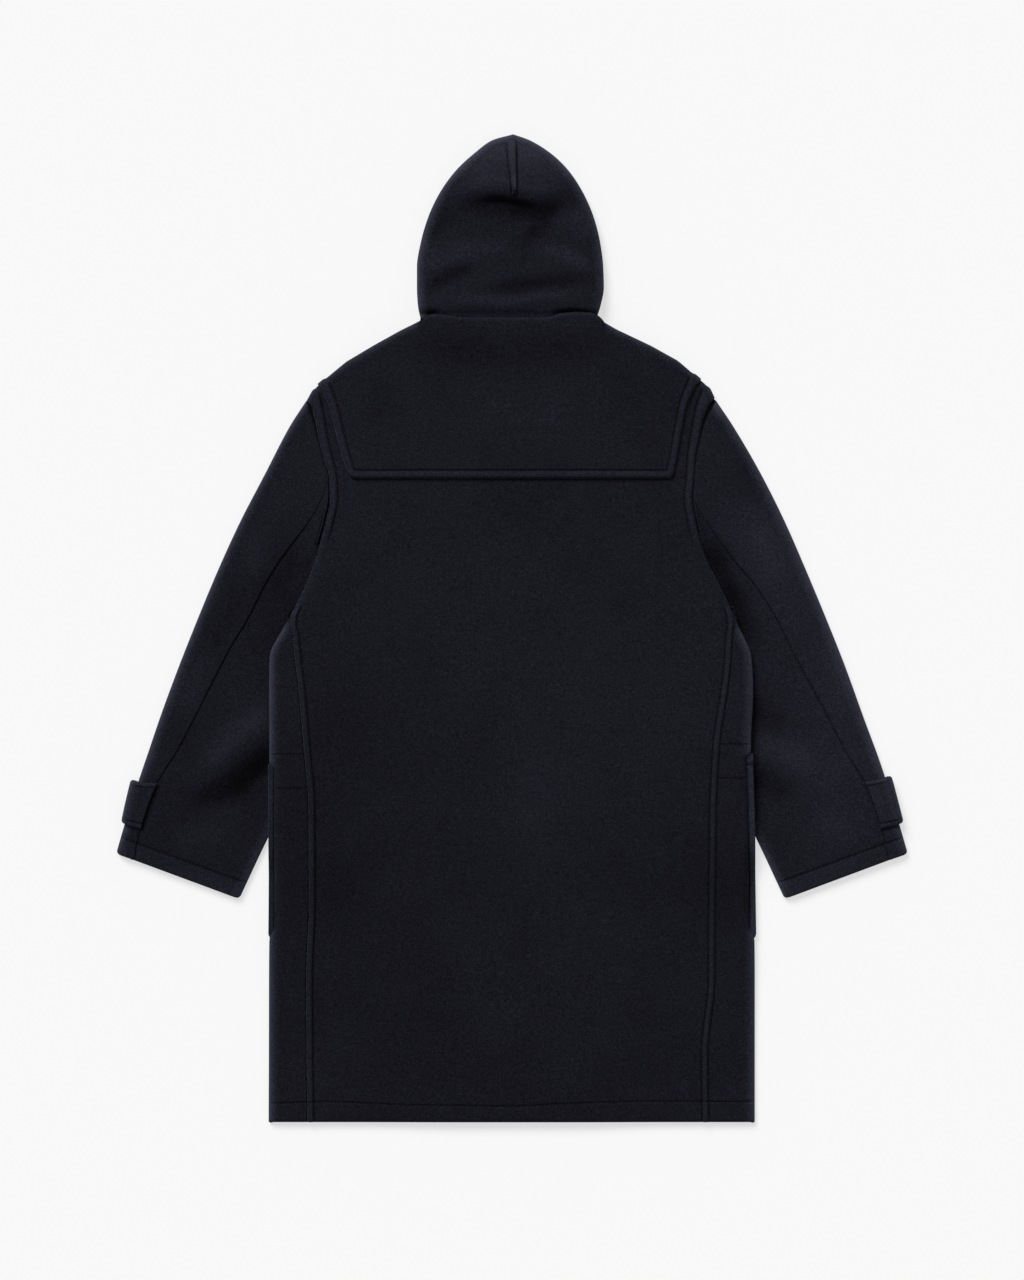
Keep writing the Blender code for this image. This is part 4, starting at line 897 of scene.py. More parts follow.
def back_half(side, lower, upper, turn):
    """Columns of x, y and the distance from the edge: lower part, part under the yoke, shoulder's fold."""
    out_x, out_y = shoulder_out()
    band = marks(BAND, [0.0, SIDE_WELT, ARMHOLE_WELT], coarse=3.0)
    edge_low = back_edge(side, lower)
    edge_high = body_edge(side, YOKE_HEM_Y + upper * (ARMHOLE_TOP_Y - 4.0 - YOKE_HEM_Y))
    columns = []
    for k, distance in enumerate(np.concatenate([band, np.linspace(0, 1, 42)[1:]])):
        x_low, x_high = inward(edge_low, k, distance, band), inward(edge_high, k, distance, band)
        away = distance if k < len(band) else FAR
        shoulder = float(smoothstep((x_high[-1] - 112.0) / 16.0))
        top = float(top_y(BACK_TOP[side], x_high[-1])) - BACK_TUCK * (1 - shoulder)
        end_x, end_y = x_high[-1] - EDGE_REACH * out_x * shoulder, top - EDGE_REACH * out_y * shoulder
        x_high = x_high + (end_x - x_high[-1]) * upper**2
        y_high = YOKE_HEM_Y + upper * (end_y - YOKE_HEM_Y)
        reach = EDGE_REACH * shoulder + edge_step(away)
        x = np.concatenate([x_low, x_high, end_x + reach * out_x * np.sin(turn)])
        y = np.concatenate([lower, y_high, end_y + reach * out_y * np.sin(turn)])
        columns.append(plan(side * x, y, away))
    return columns


def back_stitches(points, x, y, away, flat_top):
    """Stitched lines of the back: along both side seams, both armholes and the hem."""
    lines = []
    for half in (x < 0, x >= 0):
        beside = np.where(half, away, NOWHERE)
        on_seam = half & flat_top & (y < SIDE_STITCH_TOP_Y)
        on_armhole = half & flat_top & (y > ARMHOLE_STITCH[0]) & (y < ARMHOLE_STITCH[1])
        lines += [traced(points, beside, SIDE_WELT, 1, on_seam),
                  traced(points, beside, ARMHOLE_WELT, 1, on_armhole)]
    lines.append(traced(points, np.where(flat_top, y - HEM_Y - hem_line(x), NOWHERE), 0.0, 0))
    return lines


def folded_at_shoulders(x, top_rows, open_half):
    """Cells of a panel: from its last row on top the fold goes on at the shoulders only."""
    keep = np.ones((x.shape[0] - 1, x.shape[1] - 1), bool)
    middles = (x[top_rows - 1, :-1] + x[top_rows - 1, 1:]) / 2
    keep[top_rows - 1:, np.abs(middles) < open_half] = False
    return keep


def make_back(look, thread):
    lower = marks(YOKE_HEM_Y - HEM_Y, [0.0] + HEM_MARKS) + HEM_Y
    upper = np.linspace(0, 1, 34)[1:]
    turn = np.linspace(0, math.pi * 0.55, 8)[1:]
    grid = both_halves(lambda side: back_half(side, lower, upper, turn))
    x, y, away = grid[..., 0], grid[..., 1], grid[..., 2]
    z = body_top(x, y)
    top_rows = len(lower) + len(upper)
    fade = smoothstep((y - ARMHOLE_WELT_FROM) / (ARMHOLE_WELT_WHOLE - ARMHOLE_WELT_FROM))[..., None]
    raised = np.where((y < STRIP_TOP_Y)[..., None], welt(away, SIDE_WELT, WELT_RISE),
                      fade * welt(away, ARMHOLE_WELT, WELT_RISE)) + rolled(away, *PRESSED_EDGE)
    for side, half in ((-1, x <= 0), (1, x > 0)):
        raised = raised + np.where(half[..., None], onto_sleeve(side, np.abs(x), y, z), 0.0)
    raised = raised + np.where((y < 0)[..., None], hem_relief(x, y), 0.0) + folds_at(x, y, BACK_FOLDS)
    raised[top_rows:] = 0.0
    raised = raised + painted_rim_light(shoulder_away(x, y), *SHOULDER_RIM_LIGHT) + toned(x, y, BODY_TONES)
    z[top_rows:] = z[top_rows - 1] * (0.5 + 0.5 * np.cos(turn))[:, None]
    points = plan(x, y, z, raised)
    flat_top = np.zeros(x.shape, bool)
    flat_top[:top_rows] = True
    make_stitches("back_stitches", back_stitches(points, x, y, away, flat_top), thread, "back")
    piece = cloth("back_panel", points, look, -1.0, folded_at_shoulders(x, top_rows, BACK_OPEN_HALF))
    dress_cloth(piece, "back")


FRONT_STITCHES = {-1: (-157.2, -199.7), 1: (-144.7, -187.2)}    # two lines across the strip at the flap
POCKET_PULL = {-1: 6.2, 1: 6.5}     # the body's fold is drawn in beside the pocket
FLAP_TOP = {-1: -169.0, 1: -156.0}  # top of the flap where it shows past the side fold
POCKET_STANDS = {-1: 7.7, 1: 8.9}   # pocket's edge past the drawn-in fold
FLAP_STANDS = {-1: 8.2, 1: 9.4}
EDGE_CURL = 5.0                     # the thick edges of the pocket and the flap curl up beside the fold
# painted light on the edges of the pocket and the flap where they show past the side fold
EDGE_RIM_LIGHT = {-1: 0.95, 1: 1.3}
POCKET_STITCH = 7.0
FRONT_FOLDS = {
    -1: [Fold([(-270.0, -20.0), (-232.0, -70.0), (-150.0, -96.0)], 22.0, 2.0),
         Fold([(-96.0, -420.0), (-120.0, -480.0), (-110.0, -560.0)], 18.0, 1.9),
         Fold([(-250.0, -440.0), (-226.0, -500.0), (-236.0, -580.0)], 15.0, 1.5),
         Fold([(-120.0, 190.0), (-150.0, 150.0), (-205.0, 120.0)], 17.0, 1.8)],
    1: [Fold([(268.0, -40.0), (210.0, -90.0), (160.0, -100.0)], 18.0, 1.8),
        Fold([(120.0, -400.0), (150.0, -470.0), (138.0, -540.0)], 20.0, 2.1),
        Fold([(230.0, -450.0), (250.0, -520.0), (240.0, -570.0)], 13.0, 1.4),
        Fold([(110.0, 220.0), (150.0, 176.0), (196.0, 150.0)], 19.0, 1.6),
        Fold([(60.0, -480.0), (66.0, -540.0), (50.0, -590.0)], 14.0, 1.6)],
}


def beside_pocket(side, y):
    return smoothstep((y - POCKET_FOOT_Y - 1.0) / 16.0) * (1 - smoothstep((y - FLAP_TOP[side] + 6.0) / 8.0))


def fold_edge(side, y):
    """The side fold as it shows: drawn in a little beside the pocket."""
    return body_edge(side, y) - POCKET_PULL[side] * beside_pocket(side, y)


def front_lower(side, x, y):
    """Height of the outer, lower surface of a front."""
    return under_fronts(side * x, y) + (lap_lift(x, y) if side > 0 else 0.0)


def front_strip(side, y, seam, edge, start, nap):
    """The strip of a front that lies on the back's side, from the side seam to the fold."""
    share = marks(1.0, [0.0], coarse=0.11, fine=0.018, clear=0.03)[:-1]
    x = seam + (start - seam) * share[None, :]
    wide = np.broadcast_to(y, x.shape)
    z = body_top(side * x, y)
    raised = rolled(x - seam, *PRESSED_EDGE) + hem_relief(side * x, wide)
    raised = raised + onto_sleeve(side, x, wide, z) + painted_rim_light(edge - x) * nap[..., None]
    raised = raised + toned(side * x, wide, BODY_TONES)
    for stitch in FRONT_STITCHES[side]:
        raised = raised + groove(wide - stitch, 0.9)
    return plan(x, wide, z, raised)


def front_turn(side, y, edge, start, reach, nap):
    """The side fold of a front."""
    turn = np.linspace(0, math.pi, 17)
    floor = under_fronts(side * edge, y)
    top = body_top(side * start, y)
    top = top + hem_relief(side * start, y)[..., 0] + onto_sleeve(side, start, y, top)[..., 0]
    x = start + reach * np.sin(turn)[None, :]
    z = (top + floor) / 2 + (top - floor) / 2 * np.cos(turn)[None, :]
    part = plan(x, y, z, painted_rim_light(edge - x) * nap[..., None] + toned(side * x, y, BODY_TONES))
    for stitch in FRONT_STITCHES[side]:
        part[..., 2:] += groove(y - stitch, 0.9) * np.maximum(np.cos(turn), 0.0)[None, :, None]
    return part


def front_under(side, x, y, raised=0.0):
    """The wide part of a front, on the floor side."""
    return plan(x, y, front_lower(side, x, y), folds_at(side * x, y, FRONT_FOLDS[side]) - raised)


def make_front(side, look, thread):
    """One front: the strip on the back's side, the side fold, and the wide part underneath."""
    word = side_name(side)
    stitches = list(FRONT_STITCHES[side])
    low = marks(STRIP_TOP_Y - HEM_Y, [0.0, HEM_STITCH_UP] + [y - HEM_Y for y in stitches]) + HEM_Y
    share = np.linspace(0, 1, 52)[1:, None]
    under = np.linspace(0, 1, 46)[1:]
    edge = fold_edge(side, low)[:, None]
    seam = side_seam(side, low)[:, None] + SEAM / 2
    y = low[:, None]
    reach = np.minimum(EDGE_REACH, 0.42 * np.maximum(edge - seam, 0.0) + 0.4)
    start = edge - reach
    # nap: strength of the painted rim light at the side fold, weaker beside the pocket
    nap = smoothstep((edge - seam) / 14.0) * (1 - 0.9 * beside_pocket(side, y))
    strip = front_strip(side, y, seam, edge, start, nap)
    lines = [strip[np.argmin(np.abs(low - at))][:, :3] * (side, 1.0, 1.0)
             for at in stitches + [HEM_Y + HEM_STITCH_UP]]
    make_stitches("front_stitches_" + word, lines, thread, "front_" + word)
    turned = front_turn(side, y, edge, start, reach, nap)
    wide = front_under(side, start + (-FRONT_LAP - start) * under[None, :], y, rolled(y - HEM_Y, 4.0, 1.5))
    # above the side seam only the part underneath goes on
    edge = body_edge(side, STRIP_TOP_Y + share * (ARMHOLE_TOP_Y - 6.0 - STRIP_TOP_Y)) - 1.5
    x = edge + (-FRONT_LAP - edge) * np.concatenate([[0.0], under])[None, :]
    top = np.where(x < NECK_HALF, top_y(FRONT_TOP, x), top_y(BACK_TOP[side], x))
    upper = front_under(side, x, STRIP_TOP_Y + share * (top - EDGE_REACH * 0.6 - STRIP_TOP_Y))
    first_under = strip.shape[1] + turned.shape[1] - 1
    empty = np.repeat(upper[:, :1], first_under, axis=1)
    lower = np.concatenate([strip, turned, wide], axis=1)
    points = np.concatenate([lower, np.concatenate([empty, upper], axis=1)])
    points[..., 0] *= side
    towards = -float(side)
    normals = surface_normals(points, towards)
    normals[len(low) - 1:, :first_under + 1] = (0.0, 0.0, 1.0)
    points = with_lip(points, towards, 1, normals=normals)
    first_under += len(LIP)
    keep = np.ones((points.shape[0] - 1, points.shape[1] - 1), bool)
    keep[len(low) - 1:, :first_under] = False
    normals = surface_normals(points, towards)
    normals[len(low) - 1:, :first_under + 1] = (0.0, 0.0, -1.0)
    piece = cloth("front_panel_" + word, points, look, towards, keep, normals=normals)
    dress_cloth(piece, "front_" + word)


PatchShape = namedtuple("PatchShape", "foot top layer stands corner shows_from")


def patch_grid(side, patch):
    """Grid of a patch on the underside of a front, whose outer edge shows past the side fold."""
    height = patch.top - patch.foot
    up = marks(height, [0.0, height, 8.0])
    y = (patch.foot + up)[:, None]
    short = np.clip(patch.corner - up, 0, patch.corner)
    inset = (patch.corner - np.sqrt(np.maximum(patch.corner**2 - short**2, 0.0)))[:, None]
    across = marks(POCKET_WIDTH, [0.0, POCKET_STITCH, POCKET_WIDTH - POCKET_STITCH], coarse=8.0)[None, :]
    outer = body_edge(side, y) - POCKET_PULL[side] + patch.stands
    x = outer - inset - across * (POCKET_WIDTH - inset - inset) / POCKET_WIDTH
    z = under_fronts(side * np.minimum(x, outer - EDGE_REACH), y) - LAYER * patch.layer
    edge = np.minimum(np.minimum(across, POCKET_WIDTH - across), np.minimum(y - patch.foot, patch.top - y))
    shown = smoothstep((patch.stands + 4.0 - across) / 6.0) * smoothstep((y - patch.shows_from) / 4.0)
    raised = relief(-1.0, 1.0) * (rolled(edge, 2.0, 1.2) + groove(edge - POCKET_STITCH, 0.6))
    raised = raised + painted_rim_light(edge, 0.3, 6.0)
    curl = relief((EDGE_CURL + LAYER * (patch.layer - 1)) * shown, EDGE_RIM_LIGHT[side] * shown)
    raised = raised * (1 - 0.85 * shown)[..., None] + curl
    # a painted dark line of shadow where the side fold overhangs the patch
    raised = raised + relief(0.0, -2.0) * np.exp(-((across - patch.stands + 0.3) / 1.3) ** 2)[..., None]
    return plan(side * x, np.broadcast_to(y, x.shape), np.maximum(z, 0.0), raised)


def make_pocket(side, look, flap_look):
    """Patch pocket and its flap."""
    word = side_name(side)
    pocket = PatchShape(POCKET_FOOT_Y, POCKET_TOP_Y, 1, POCKET_STANDS[side], 9.0, POCKET_FOOT_Y - 10.0)
    piece = cloth("pocket_patch_" + word, patch_grid(side, pocket), look, -float(side), thickness=THIN_CLOTH)
    dress_cloth(piece, "pocket_" + word)
    flap = PatchShape(FLAP_FOOT_Y, FLAP_TOP[side], 2, FLAP_STANDS[side], 5.0, POCKET_TOP_Y - 1.0)
    piece = cloth("flap_" + word, patch_grid(side, flap), flap_look, -float(side), thickness=THIN_CLOTH)
    dress_cloth(piece, "pocket_flap_" + word)


YOKE_WELT = 10.5
YOKE_LOW = 80.0                     # height over which the yoke's rows are close together
YOKE_SPREAD = 200.0                 # the edge's own curve fades out of the columns over this much
YOKE_LEAN = 0.15                    # on the fronts the yoke's edge runs inwards by this share
YOKE_CORNER = 7.5                   # radius of the yoke's lower corners in plan
YOKE_FOLDS = [
    Fold([(-150.0, 338.0), (-80.0, 346.0), (0.0, 342.0), (80.0, 346.0), (150.0, 336.0)], 24.0, -2.6),
    Fold([(-180.0, 310.0), (-160.0, 280.0), (-170.0, 240.0)], 24.0, -1.4),
    Fold([(150.0, 330.0), (140.0, 300.0), (150.0, 260.0)], 22.0, -1.0),
    Fold([(-60.0, 280.0), (20.0, 262.0), (90.0, 274.0)], 30.0, 1.2),
]


def yoke_edge(side, y):
    return curve(column(YOKE_EDGE, "y"), column(YOKE_EDGE, side_name(side)), y)


def yoke_half(side, rows_low, rows_high):
    """Columns of x, y, z, 0, the distance from the edge and that from the neck."""
    out_x, out_y = shoulder_out()
    band = marks(BAND, [0.0, YOKE_WELT], coarse=3.0)
    turn = np.linspace(0, math.pi, 15)[1:]
    under = np.linspace(0, 1, 16)[1:]
    bottom_edge, top_edge = float(yoke_edge(side, YOKE_HEM_Y)), float(yoke_edge(side, YOKE_TOP_Y))
    columns = []
    for k, distance in enumerate(np.concatenate([band, np.linspace(0, 1, 40)[1:]])):
        bottom_x, top_x = inward(bottom_edge, k, distance, band), inward(top_edge, k, distance, band)
        in_band = k < len(band)
        near = 1 - distance / YOKE_SPREAD if in_band else (1 - distance) * (1 - band[-1] / YOKE_SPREAD)
        away = distance if in_band else FAR
        shoulder = float(smoothstep((top_x - 113.0) / 10.0))
        top = float(top_y(BACK_TOP[side], top_x))
        first = YOKE_LOW / (top - YOKE_HEM_Y)
        t = np.concatenate([rows_low * first, first + (1 - first) * rows_high])
        end_x, end_y = top_x - EDGE_REACH * out_x * shoulder, top - EDGE_REACH * out_y * shoulder
        y = YOKE_HEM_Y + (end_y - YOKE_HEM_Y) * t
        on_edge = yoke_edge(side, YOKE_HEM_Y + t * (YOKE_TOP_Y - YOKE_HEM_Y))
        chord = bottom_edge + (top_edge - bottom_edge) * t
        x = bottom_x + (end_x - bottom_x) * t + (on_edge - chord) * near**3
        z = body_top(side * x, y) + LAYER
        reach = EDGE_REACH * shoulder + edge_step(away)
        depth = (end_y - YOKE_FRONT_FOOT) * under
        x = np.concatenate([x, end_x + reach * out_x * np.sin(turn), end_x - depth * YOKE_LEAN])
        y = np.concatenate([y, end_y + reach * out_y * np.sin(turn), end_y - depth])
        z = np.concatenate([z, z[-1] / 2 + z[-1] / 2 * np.cos(turn), 0.0 * under])
        to_neck = np.maximum(top - y, 0.0) + FAR * shoulder
        columns.append(np.column_stack([plan(side * x, y, z), np.full(len(x), away), to_neck]))
    return columns


def round_corners(x, y, away, up):
    """The yoke's lower corners, rounded in place; returns how far each point lies inside the edge."""
    short_x, short_y = YOKE_CORNER - away, YOKE_CORNER - up
    at_corner = (short_x > 0) & (short_y > 0)
    longer = np.maximum(short_x, short_y)
    pulled = np.where(at_corner, longer / np.maximum(np.hypot(short_x, short_y), 1e-6), 1.0)
    x -= np.sign(x) * np.where(at_corner, short_x * (1 - pulled), 0.0)
    y += np.where(at_corner, short_y * (1 - pulled), 0.0)
    inside = np.minimum(away * YOKE_WELT / (YOKE_WELT - 1.0), up)
    return np.where(at_corner, YOKE_CORNER - longer, inside)


def make_yoke(look, thread):
    """One piece over the back, folded over both shoulders onto the fronts."""
    rows_low = marks(YOKE_LOW, [0.0, YOKE_WELT]) / YOKE_LOW
    rows_high = 1 - marks(1.0, [0.0], coarse=0.04, fine=0.008, growth=0.12, clear=0.02)[::-1][1:]
    grid = both_halves(lambda side: yoke_half(side, rows_low, rows_high))
    top_rows = len(rows_low) + len(rows_high)
    x, y, z, away, to_neck = (grid[..., k].copy() for k in (0, 1, 2, 4, 5))
    up = y - YOKE_HEM_Y
    inside = round_corners(x, y, away, up)
    shown = np.zeros(x.shape, bool)
    shown[:top_rows] = True
    raised = welt(inside, YOKE_WELT, WELT_RISE) + rolled(inside, 2.6, 2.4, 0.2) + folds_at(x, y, YOKE_FOLDS)
    raised = (raised + rolled(to_neck, 4.5, 2.6, 0.1) + painted_rim_light(to_neck, 0.35, 6.0)) * shown[..., None]
    raised = raised + painted_rim_light(shoulder_away(x, y), *SHOULDER_RIM_LIGHT)
    points = plan(x, y, z, raised)
    lines = [traced(points, np.where((x < 0) & shown, inside, NOWHERE), YOKE_WELT, 1, up > YOKE_WELT),
             traced(points, np.where(shown & (away > YOKE_WELT), up, NOWHERE), YOKE_WELT, 0),
             traced(points, np.where((x >= 0) & shown, inside, NOWHERE), YOKE_WELT, 1, up > YOKE_WELT)]
    make_stitches("yoke_stitches", lines, thread, "yoke")
    piece = cloth("yoke_panel", points, look, -1.0, folded_at_shoulders(x, top_rows, YOKE_OPEN_HALF))
    dress_cloth(piece, "yoke")


# ---- sleeve ------------------------------------------------------------------
GAP_CLOSED = {-1: 1.0, 1: 0.0}      # how much narrower the armhole's gap is near the underarm
GAP_CLOSED_ABOVE = 6.0              # middle of that stretch, over the underarm
GAP_CLOSED_OVER = 34.0              # half its length
STRAP_MARGIN = 0.2                  # stations, then a slope, round the strap underneath
STRAP_RAMP = 0.7
STRAP_LINE_MARGIN = 0.5             # lines across, then a slope
STRAP_LINE_RAMP = 3.5
HEAD_LIFT_SPREAD = 50.0             # height over which the lift's length grows from its least
SLEEVE_LOFT = 2.2
SLEEVE_LOFT_REACH = 70.0
LEAST_TOP = 6.05                    # the upper wall stays at least this high over the floor
CUFF_STITCH = 21.0
CUFF_CORNER = 5.0                   # radius of the cuff's corners in plan
SEAM_START = 4                      # rows at the armhole over which the sleeve's seam has no allowance
LIP_BELOW = 12.0                    # the head's allowance ends this far below the underarm
EDGE_SHARE = 0.35                   # where a sleeve is narrow its edge rounds over this share of it
LOFT_FROM_HEAD = 1.5                # stations over which the loft comes in
SEAM_EDGE = (2.2, 1.5, 0.5)         # reach, drop and shade of the sleeve's edge at the back seam
HEAD_EDGE = (2.6, 1.2, 0.35)        # the same at the armhole
CUFF_EDGE = (4.0, 2.2, 0.0)         # and at the cuff
CUFF_EDGE_UNDER = (4.0, 1.2)
CUFF_GROOVE = (1.2, 1.3, 0.45)      # depth, half width and shade of the cuff's stitched line
# strength and reach of the painted rim light along the cuff
CUFF_RIM_LIGHT = (0.3, 6.0)
CUFF_HEM = (0.35, 0.22)             # the turned-up hem is thicker and lighter by this
SLEEVE_FOLDS = {
    -1: [
        Fold([(-285.0, -100.0), (-312.0, -116.0), (-342.5, -138.0), (-392.0, -190.0)], 19.0, 4.5),
        Fold([(-286.0, -148.0), (-314.0, -170.0), (-342.5, -196.0), (-372.0, -210.0), (-406.0, -228.0)],
             13.0, -5.0),
        Fold([(-298.0, -156.0), (-316.0, -172.0), (-330.0, -186.0)], 10.0, -3.0),
        Fold([(-330.0, 130.0), (-318.0, 90.0), (-322.0, 50.0)], 16.0, 1.6),
        Fold([(-266.0, 100.0), (-280.0, 68.0), (-302.0, 30.0)], 16.0, -1.6),
        Fold([(-385.0, -20.0), (-395.0, -70.0), (-420.0, -120.0)], 18.0, 1.4),
        Fold([(-340.0, 60.0), (-352.0, 10.0), (-380.0, -50.0)], 14.0, -1.6),
        Fold([(-350.0, -255.0), (-390.0, -262.0), (-430.0, -280.0)], 18.0, 2.0),
    ],
    1: [
        Fold([(290.0, -92.0), (322.0, -116.0), (350.0, -128.0)], 17.0, -3.0),
        Fold([(290.0, -184.0), (320.0, -194.0), (362.0, -214.0)], 16.0, -3.0),
        Fold([(290.0, -142.0), (345.0, -160.0), (392.0, -186.0)], 20.0, 3.0),
        Fold([(240.0, 120.0), (253.0, 92.0), (268.0, 54.0), (286.0, 14.0), (302.0, -30.0)], 14.0, -5.0),
        Fold([(300.0, 130.0), (322.0, 90.0), (334.0, 40.0)], 20.0, 1.8),
        Fold([(282.0, 210.0), (296.0, 180.0), (290.0, 150.0)], 16.0, -1.4),
        Fold([(400.0, 0.0), (412.0, -60.0), (440.0, -120.0)], 18.0, 1.6),
        Fold([(370.0, -240.0), (410.0, -252.0), (440.0, -270.0)], 18.0, 1.6),
    ],
}
# on the floor side a crease can only rise from the floor
SLEEVE_FOLDS_UNDER = {
    -1: [Fold([(-290.0, -110.0), (-330.0, -150.0), (-372.0, -176.0)], 15.0, 1.8),
         Fold([(-330.0, 60.0), (-345.0, 10.0), (-340.0, -40.0)], 12.0, 1.6),
         Fold([(-350.0, -262.0), (-385.0, -268.0), (-420.0, -282.0)], 11.0, 1.4)],
    1: [Fold([(300.0, -90.0), (336.0, -120.0), (352.0, -128.0)], 13.0, 1.7),
        Fold([(318.0, 90.0), (330.0, 40.0), (352.0, -10.0)], 16.0, 1.8),
        Fold([(320.0, -200.0), (360.0, -226.0), (400.0, -236.0)], 12.0, 1.5)],
}


def closing(side, y):
    """How much narrower than ARMHOLE_GAP the gap is at height y."""
    away = np.abs(y - UNDERARM_Y[side] - GAP_CLOSED_ABOVE)
    return GAP_CLOSED[side] * smoothstep(1 - away / GAP_CLOSED_OVER)


def head_point(side, y):
    """Points of the armhole that the sleeve meets; the last stretch runs in under the body."""
    y = np.asarray(y, float)
    underarm, last = UNDERARM_Y[side], SLEEVE[0]
    start = float(body_edge(side, underarm)) + ARMHOLE_GAP - float(closing(side, underarm))
    share = (underarm - y) / (underarm - last.inner_y)
    sewn = body_edge(side, y) + ARMHOLE_GAP - closing(side, y)
    x = np.where(y >= underarm, sewn, start + (last.inner_x - start) * share)
    return np.stack([x, y], -1)


def sleeve_point(side, row, line):
    """Plan point of the sleeve: row from the armhole to the cuff, line from the outer edge to the inner."""
    stations = np.arange(len(SLEEVE))
    word = side_name(side)
    outer_y = curve(stations, column(SLEEVE, "outer_y"), row)
    outer = np.stack([curve(column(SLEEVE_OUTER, "y"), column(SLEEVE_OUTER, word), outer_y), outer_y], -1)
    seam_at = SEAM_LINE[side]
    shift = (SLEEVE_HEAD[seam_at] - SLEEVE[0].seam_y) * np.clip(1 - row, 0, 1) ** 2
    seam_y = curve(stations, column(SLEEVE, "seam_y"), row) + shift
    seam = np.stack([curve(column(SLEEVE_SEAM, "y"), column(SLEEVE_SEAM, word), seam_y), seam_y], -1)
    inner = np.stack([curve(stations, column(SLEEVE, name), row) for name in ("inner_x", "inner_y")], -1)
    heads = head_point(side, SLEEVE_HEAD)
    last = len(SLEEVE_HEAD) - 1
    head = head_point(side, curve(np.arange(last + 1), SLEEVE_HEAD, line))
    on_upper = (line <= seam_at)[..., None]
    share = np.where(line <= seam_at, line / seam_at, (line - seam_at) / (last - seam_at))[..., None]
    a = np.where(on_upper, outer, seam)
    b = np.where(on_upper, seam, inner)
    a0 = np.where(on_upper, heads[0], heads[seam_at])
    b0 = np.where(on_upper, heads[seam_at], heads[last])
    bend = head - (a0 + (b0 - a0) * share)
    fade = (1 - smoothstep(row / HEAD_FADE))[..., None]
    return a + (b - a) * share + bend * fade


def strap_lift(row, line, seam_at):
    """How much the strap's lower half raises the sleeve that lies on it."""
    low, high = STRAP_ROWS
    along = np.maximum(np.maximum(low - STRAP_MARGIN - row, row - high - STRAP_MARGIN), 0.0)
    across = np.maximum(line - seam_at - STRAP_LINE_MARGIN, 0.0)
    return LAYER * smoothstep(1 - along / STRAP_RAMP) * smoothstep(1 - across / STRAP_LINE_RAMP)


def beside_body(side, rows, head_y):
    """1 where the sleeve's head lies as high as the body beside it, 0 further down the sleeve."""
    above = UNDERARM_Y[side] + UNDERARM_FADE
    near_lift, lift_from = HEAD_LIFT_NEAR[side], HEAD_LIFT_FROM[side]
    length = near_lift + (HEAD_LIFT - near_lift) * smoothstep((head_y - UNDERARM_Y[side]) / HEAD_LIFT_SPREAD)
    beside = smoothstep((head_y - lift_from) / (above - lift_from))
    return beside * (1 - smoothstep(rows * ROW_LENGTH / length))


def sleeve_surface(side, rows, lines, edge, stand=0.0):
    """Upper surface of part of a sleeve, up to where it starts to fold at its edge line.

    Returns the points, the folded edge's start, the way outwards and the reach of the fold.
    """
    seam_at = SEAM_LINE[side]
    points = sleeve_point(side, rows, lines)
    towards = np.sign(edge - seam_at)
    outline, inside, seam = (sleeve_point(side, rows[:, -1:], np.full((rows.shape[0], 1), float(line)))[:, 0]
                             for line in (edge, edge - 0.5 * towards, seam_at))
    outwards = outline - inside
    outwards /= np.linalg.norm(outwards, axis=1, keepdims=True)
    total = np.linalg.norm(outline - seam, axis=1)
    reach = np.minimum(EDGE_REACH, EDGE_SHARE * total)
    near = np.linalg.norm(points - outline[:, None], axis=2)
    weight = np.clip(1 - near / total[:, None], 0, 1)
    pull = (np.asarray(stand) - reach)[:, None] * weight
    flat = points + outwards[:, None] * pull[..., None]
    x, y = flat[..., 0], flat[..., 1]
    beside = beside_body(side, rows, curve(np.arange(len(SLEEVE_HEAD)), SLEEVE_HEAD, lines))
    loft = 0.0
    if edge == 0:
        loft = SLEEVE_LOFT * smoothstep(near / SLEEVE_LOFT_REACH) * smoothstep(rows / LOFT_FROM_HEAD)
    z = STACK + strap_lift(rows, lines, seam_at) + blanket.at(x, y) * beside + loft
    rim = outline + outwards * np.broadcast_to(stand, len(outline))[:, None]
    raised = folds_at(side * x, y, SLEEVE_FOLDS[side]) + painted_rim_light(np.linalg.norm(flat - rim[:, None], axis=2))
    raised = raised + toned(side * x, y, SLEEVE_LIGHT_AND_SHADE[side])
    raised[..., 0] = np.maximum(raised[..., 0], LEAST_TOP - z)
    return plan(x, y, z, raised), flat[:, -1], outwards, reach


def round_fold(top, start, outwards, reach, floor, steps=15):
    """Points of a folded edge, from the end of the top surface down to the floor, with painted rim light
    towards its outline.
    """
    turn = []
    for angle in np.linspace(0, math.pi, steps)[1:]:
        at = start + outwards * (reach * math.sin(angle))[:, None]
        height = (top + floor) / 2 + (top - floor) / 2 * math.cos(angle)
        turn.append(plan(at[:, 0], at[:, 1], height, painted_rim_light(reach * (1 - math.sin(angle)))))
    return np.array(turn).transpose(1, 0, 2)


def corner_stand(to_end, radius):
    """How far an outline stands back beside a round corner in plan."""
    short = np.clip(radius - to_end, 0.0, radius)
    return np.sqrt(radius**2 - short**2) - radius


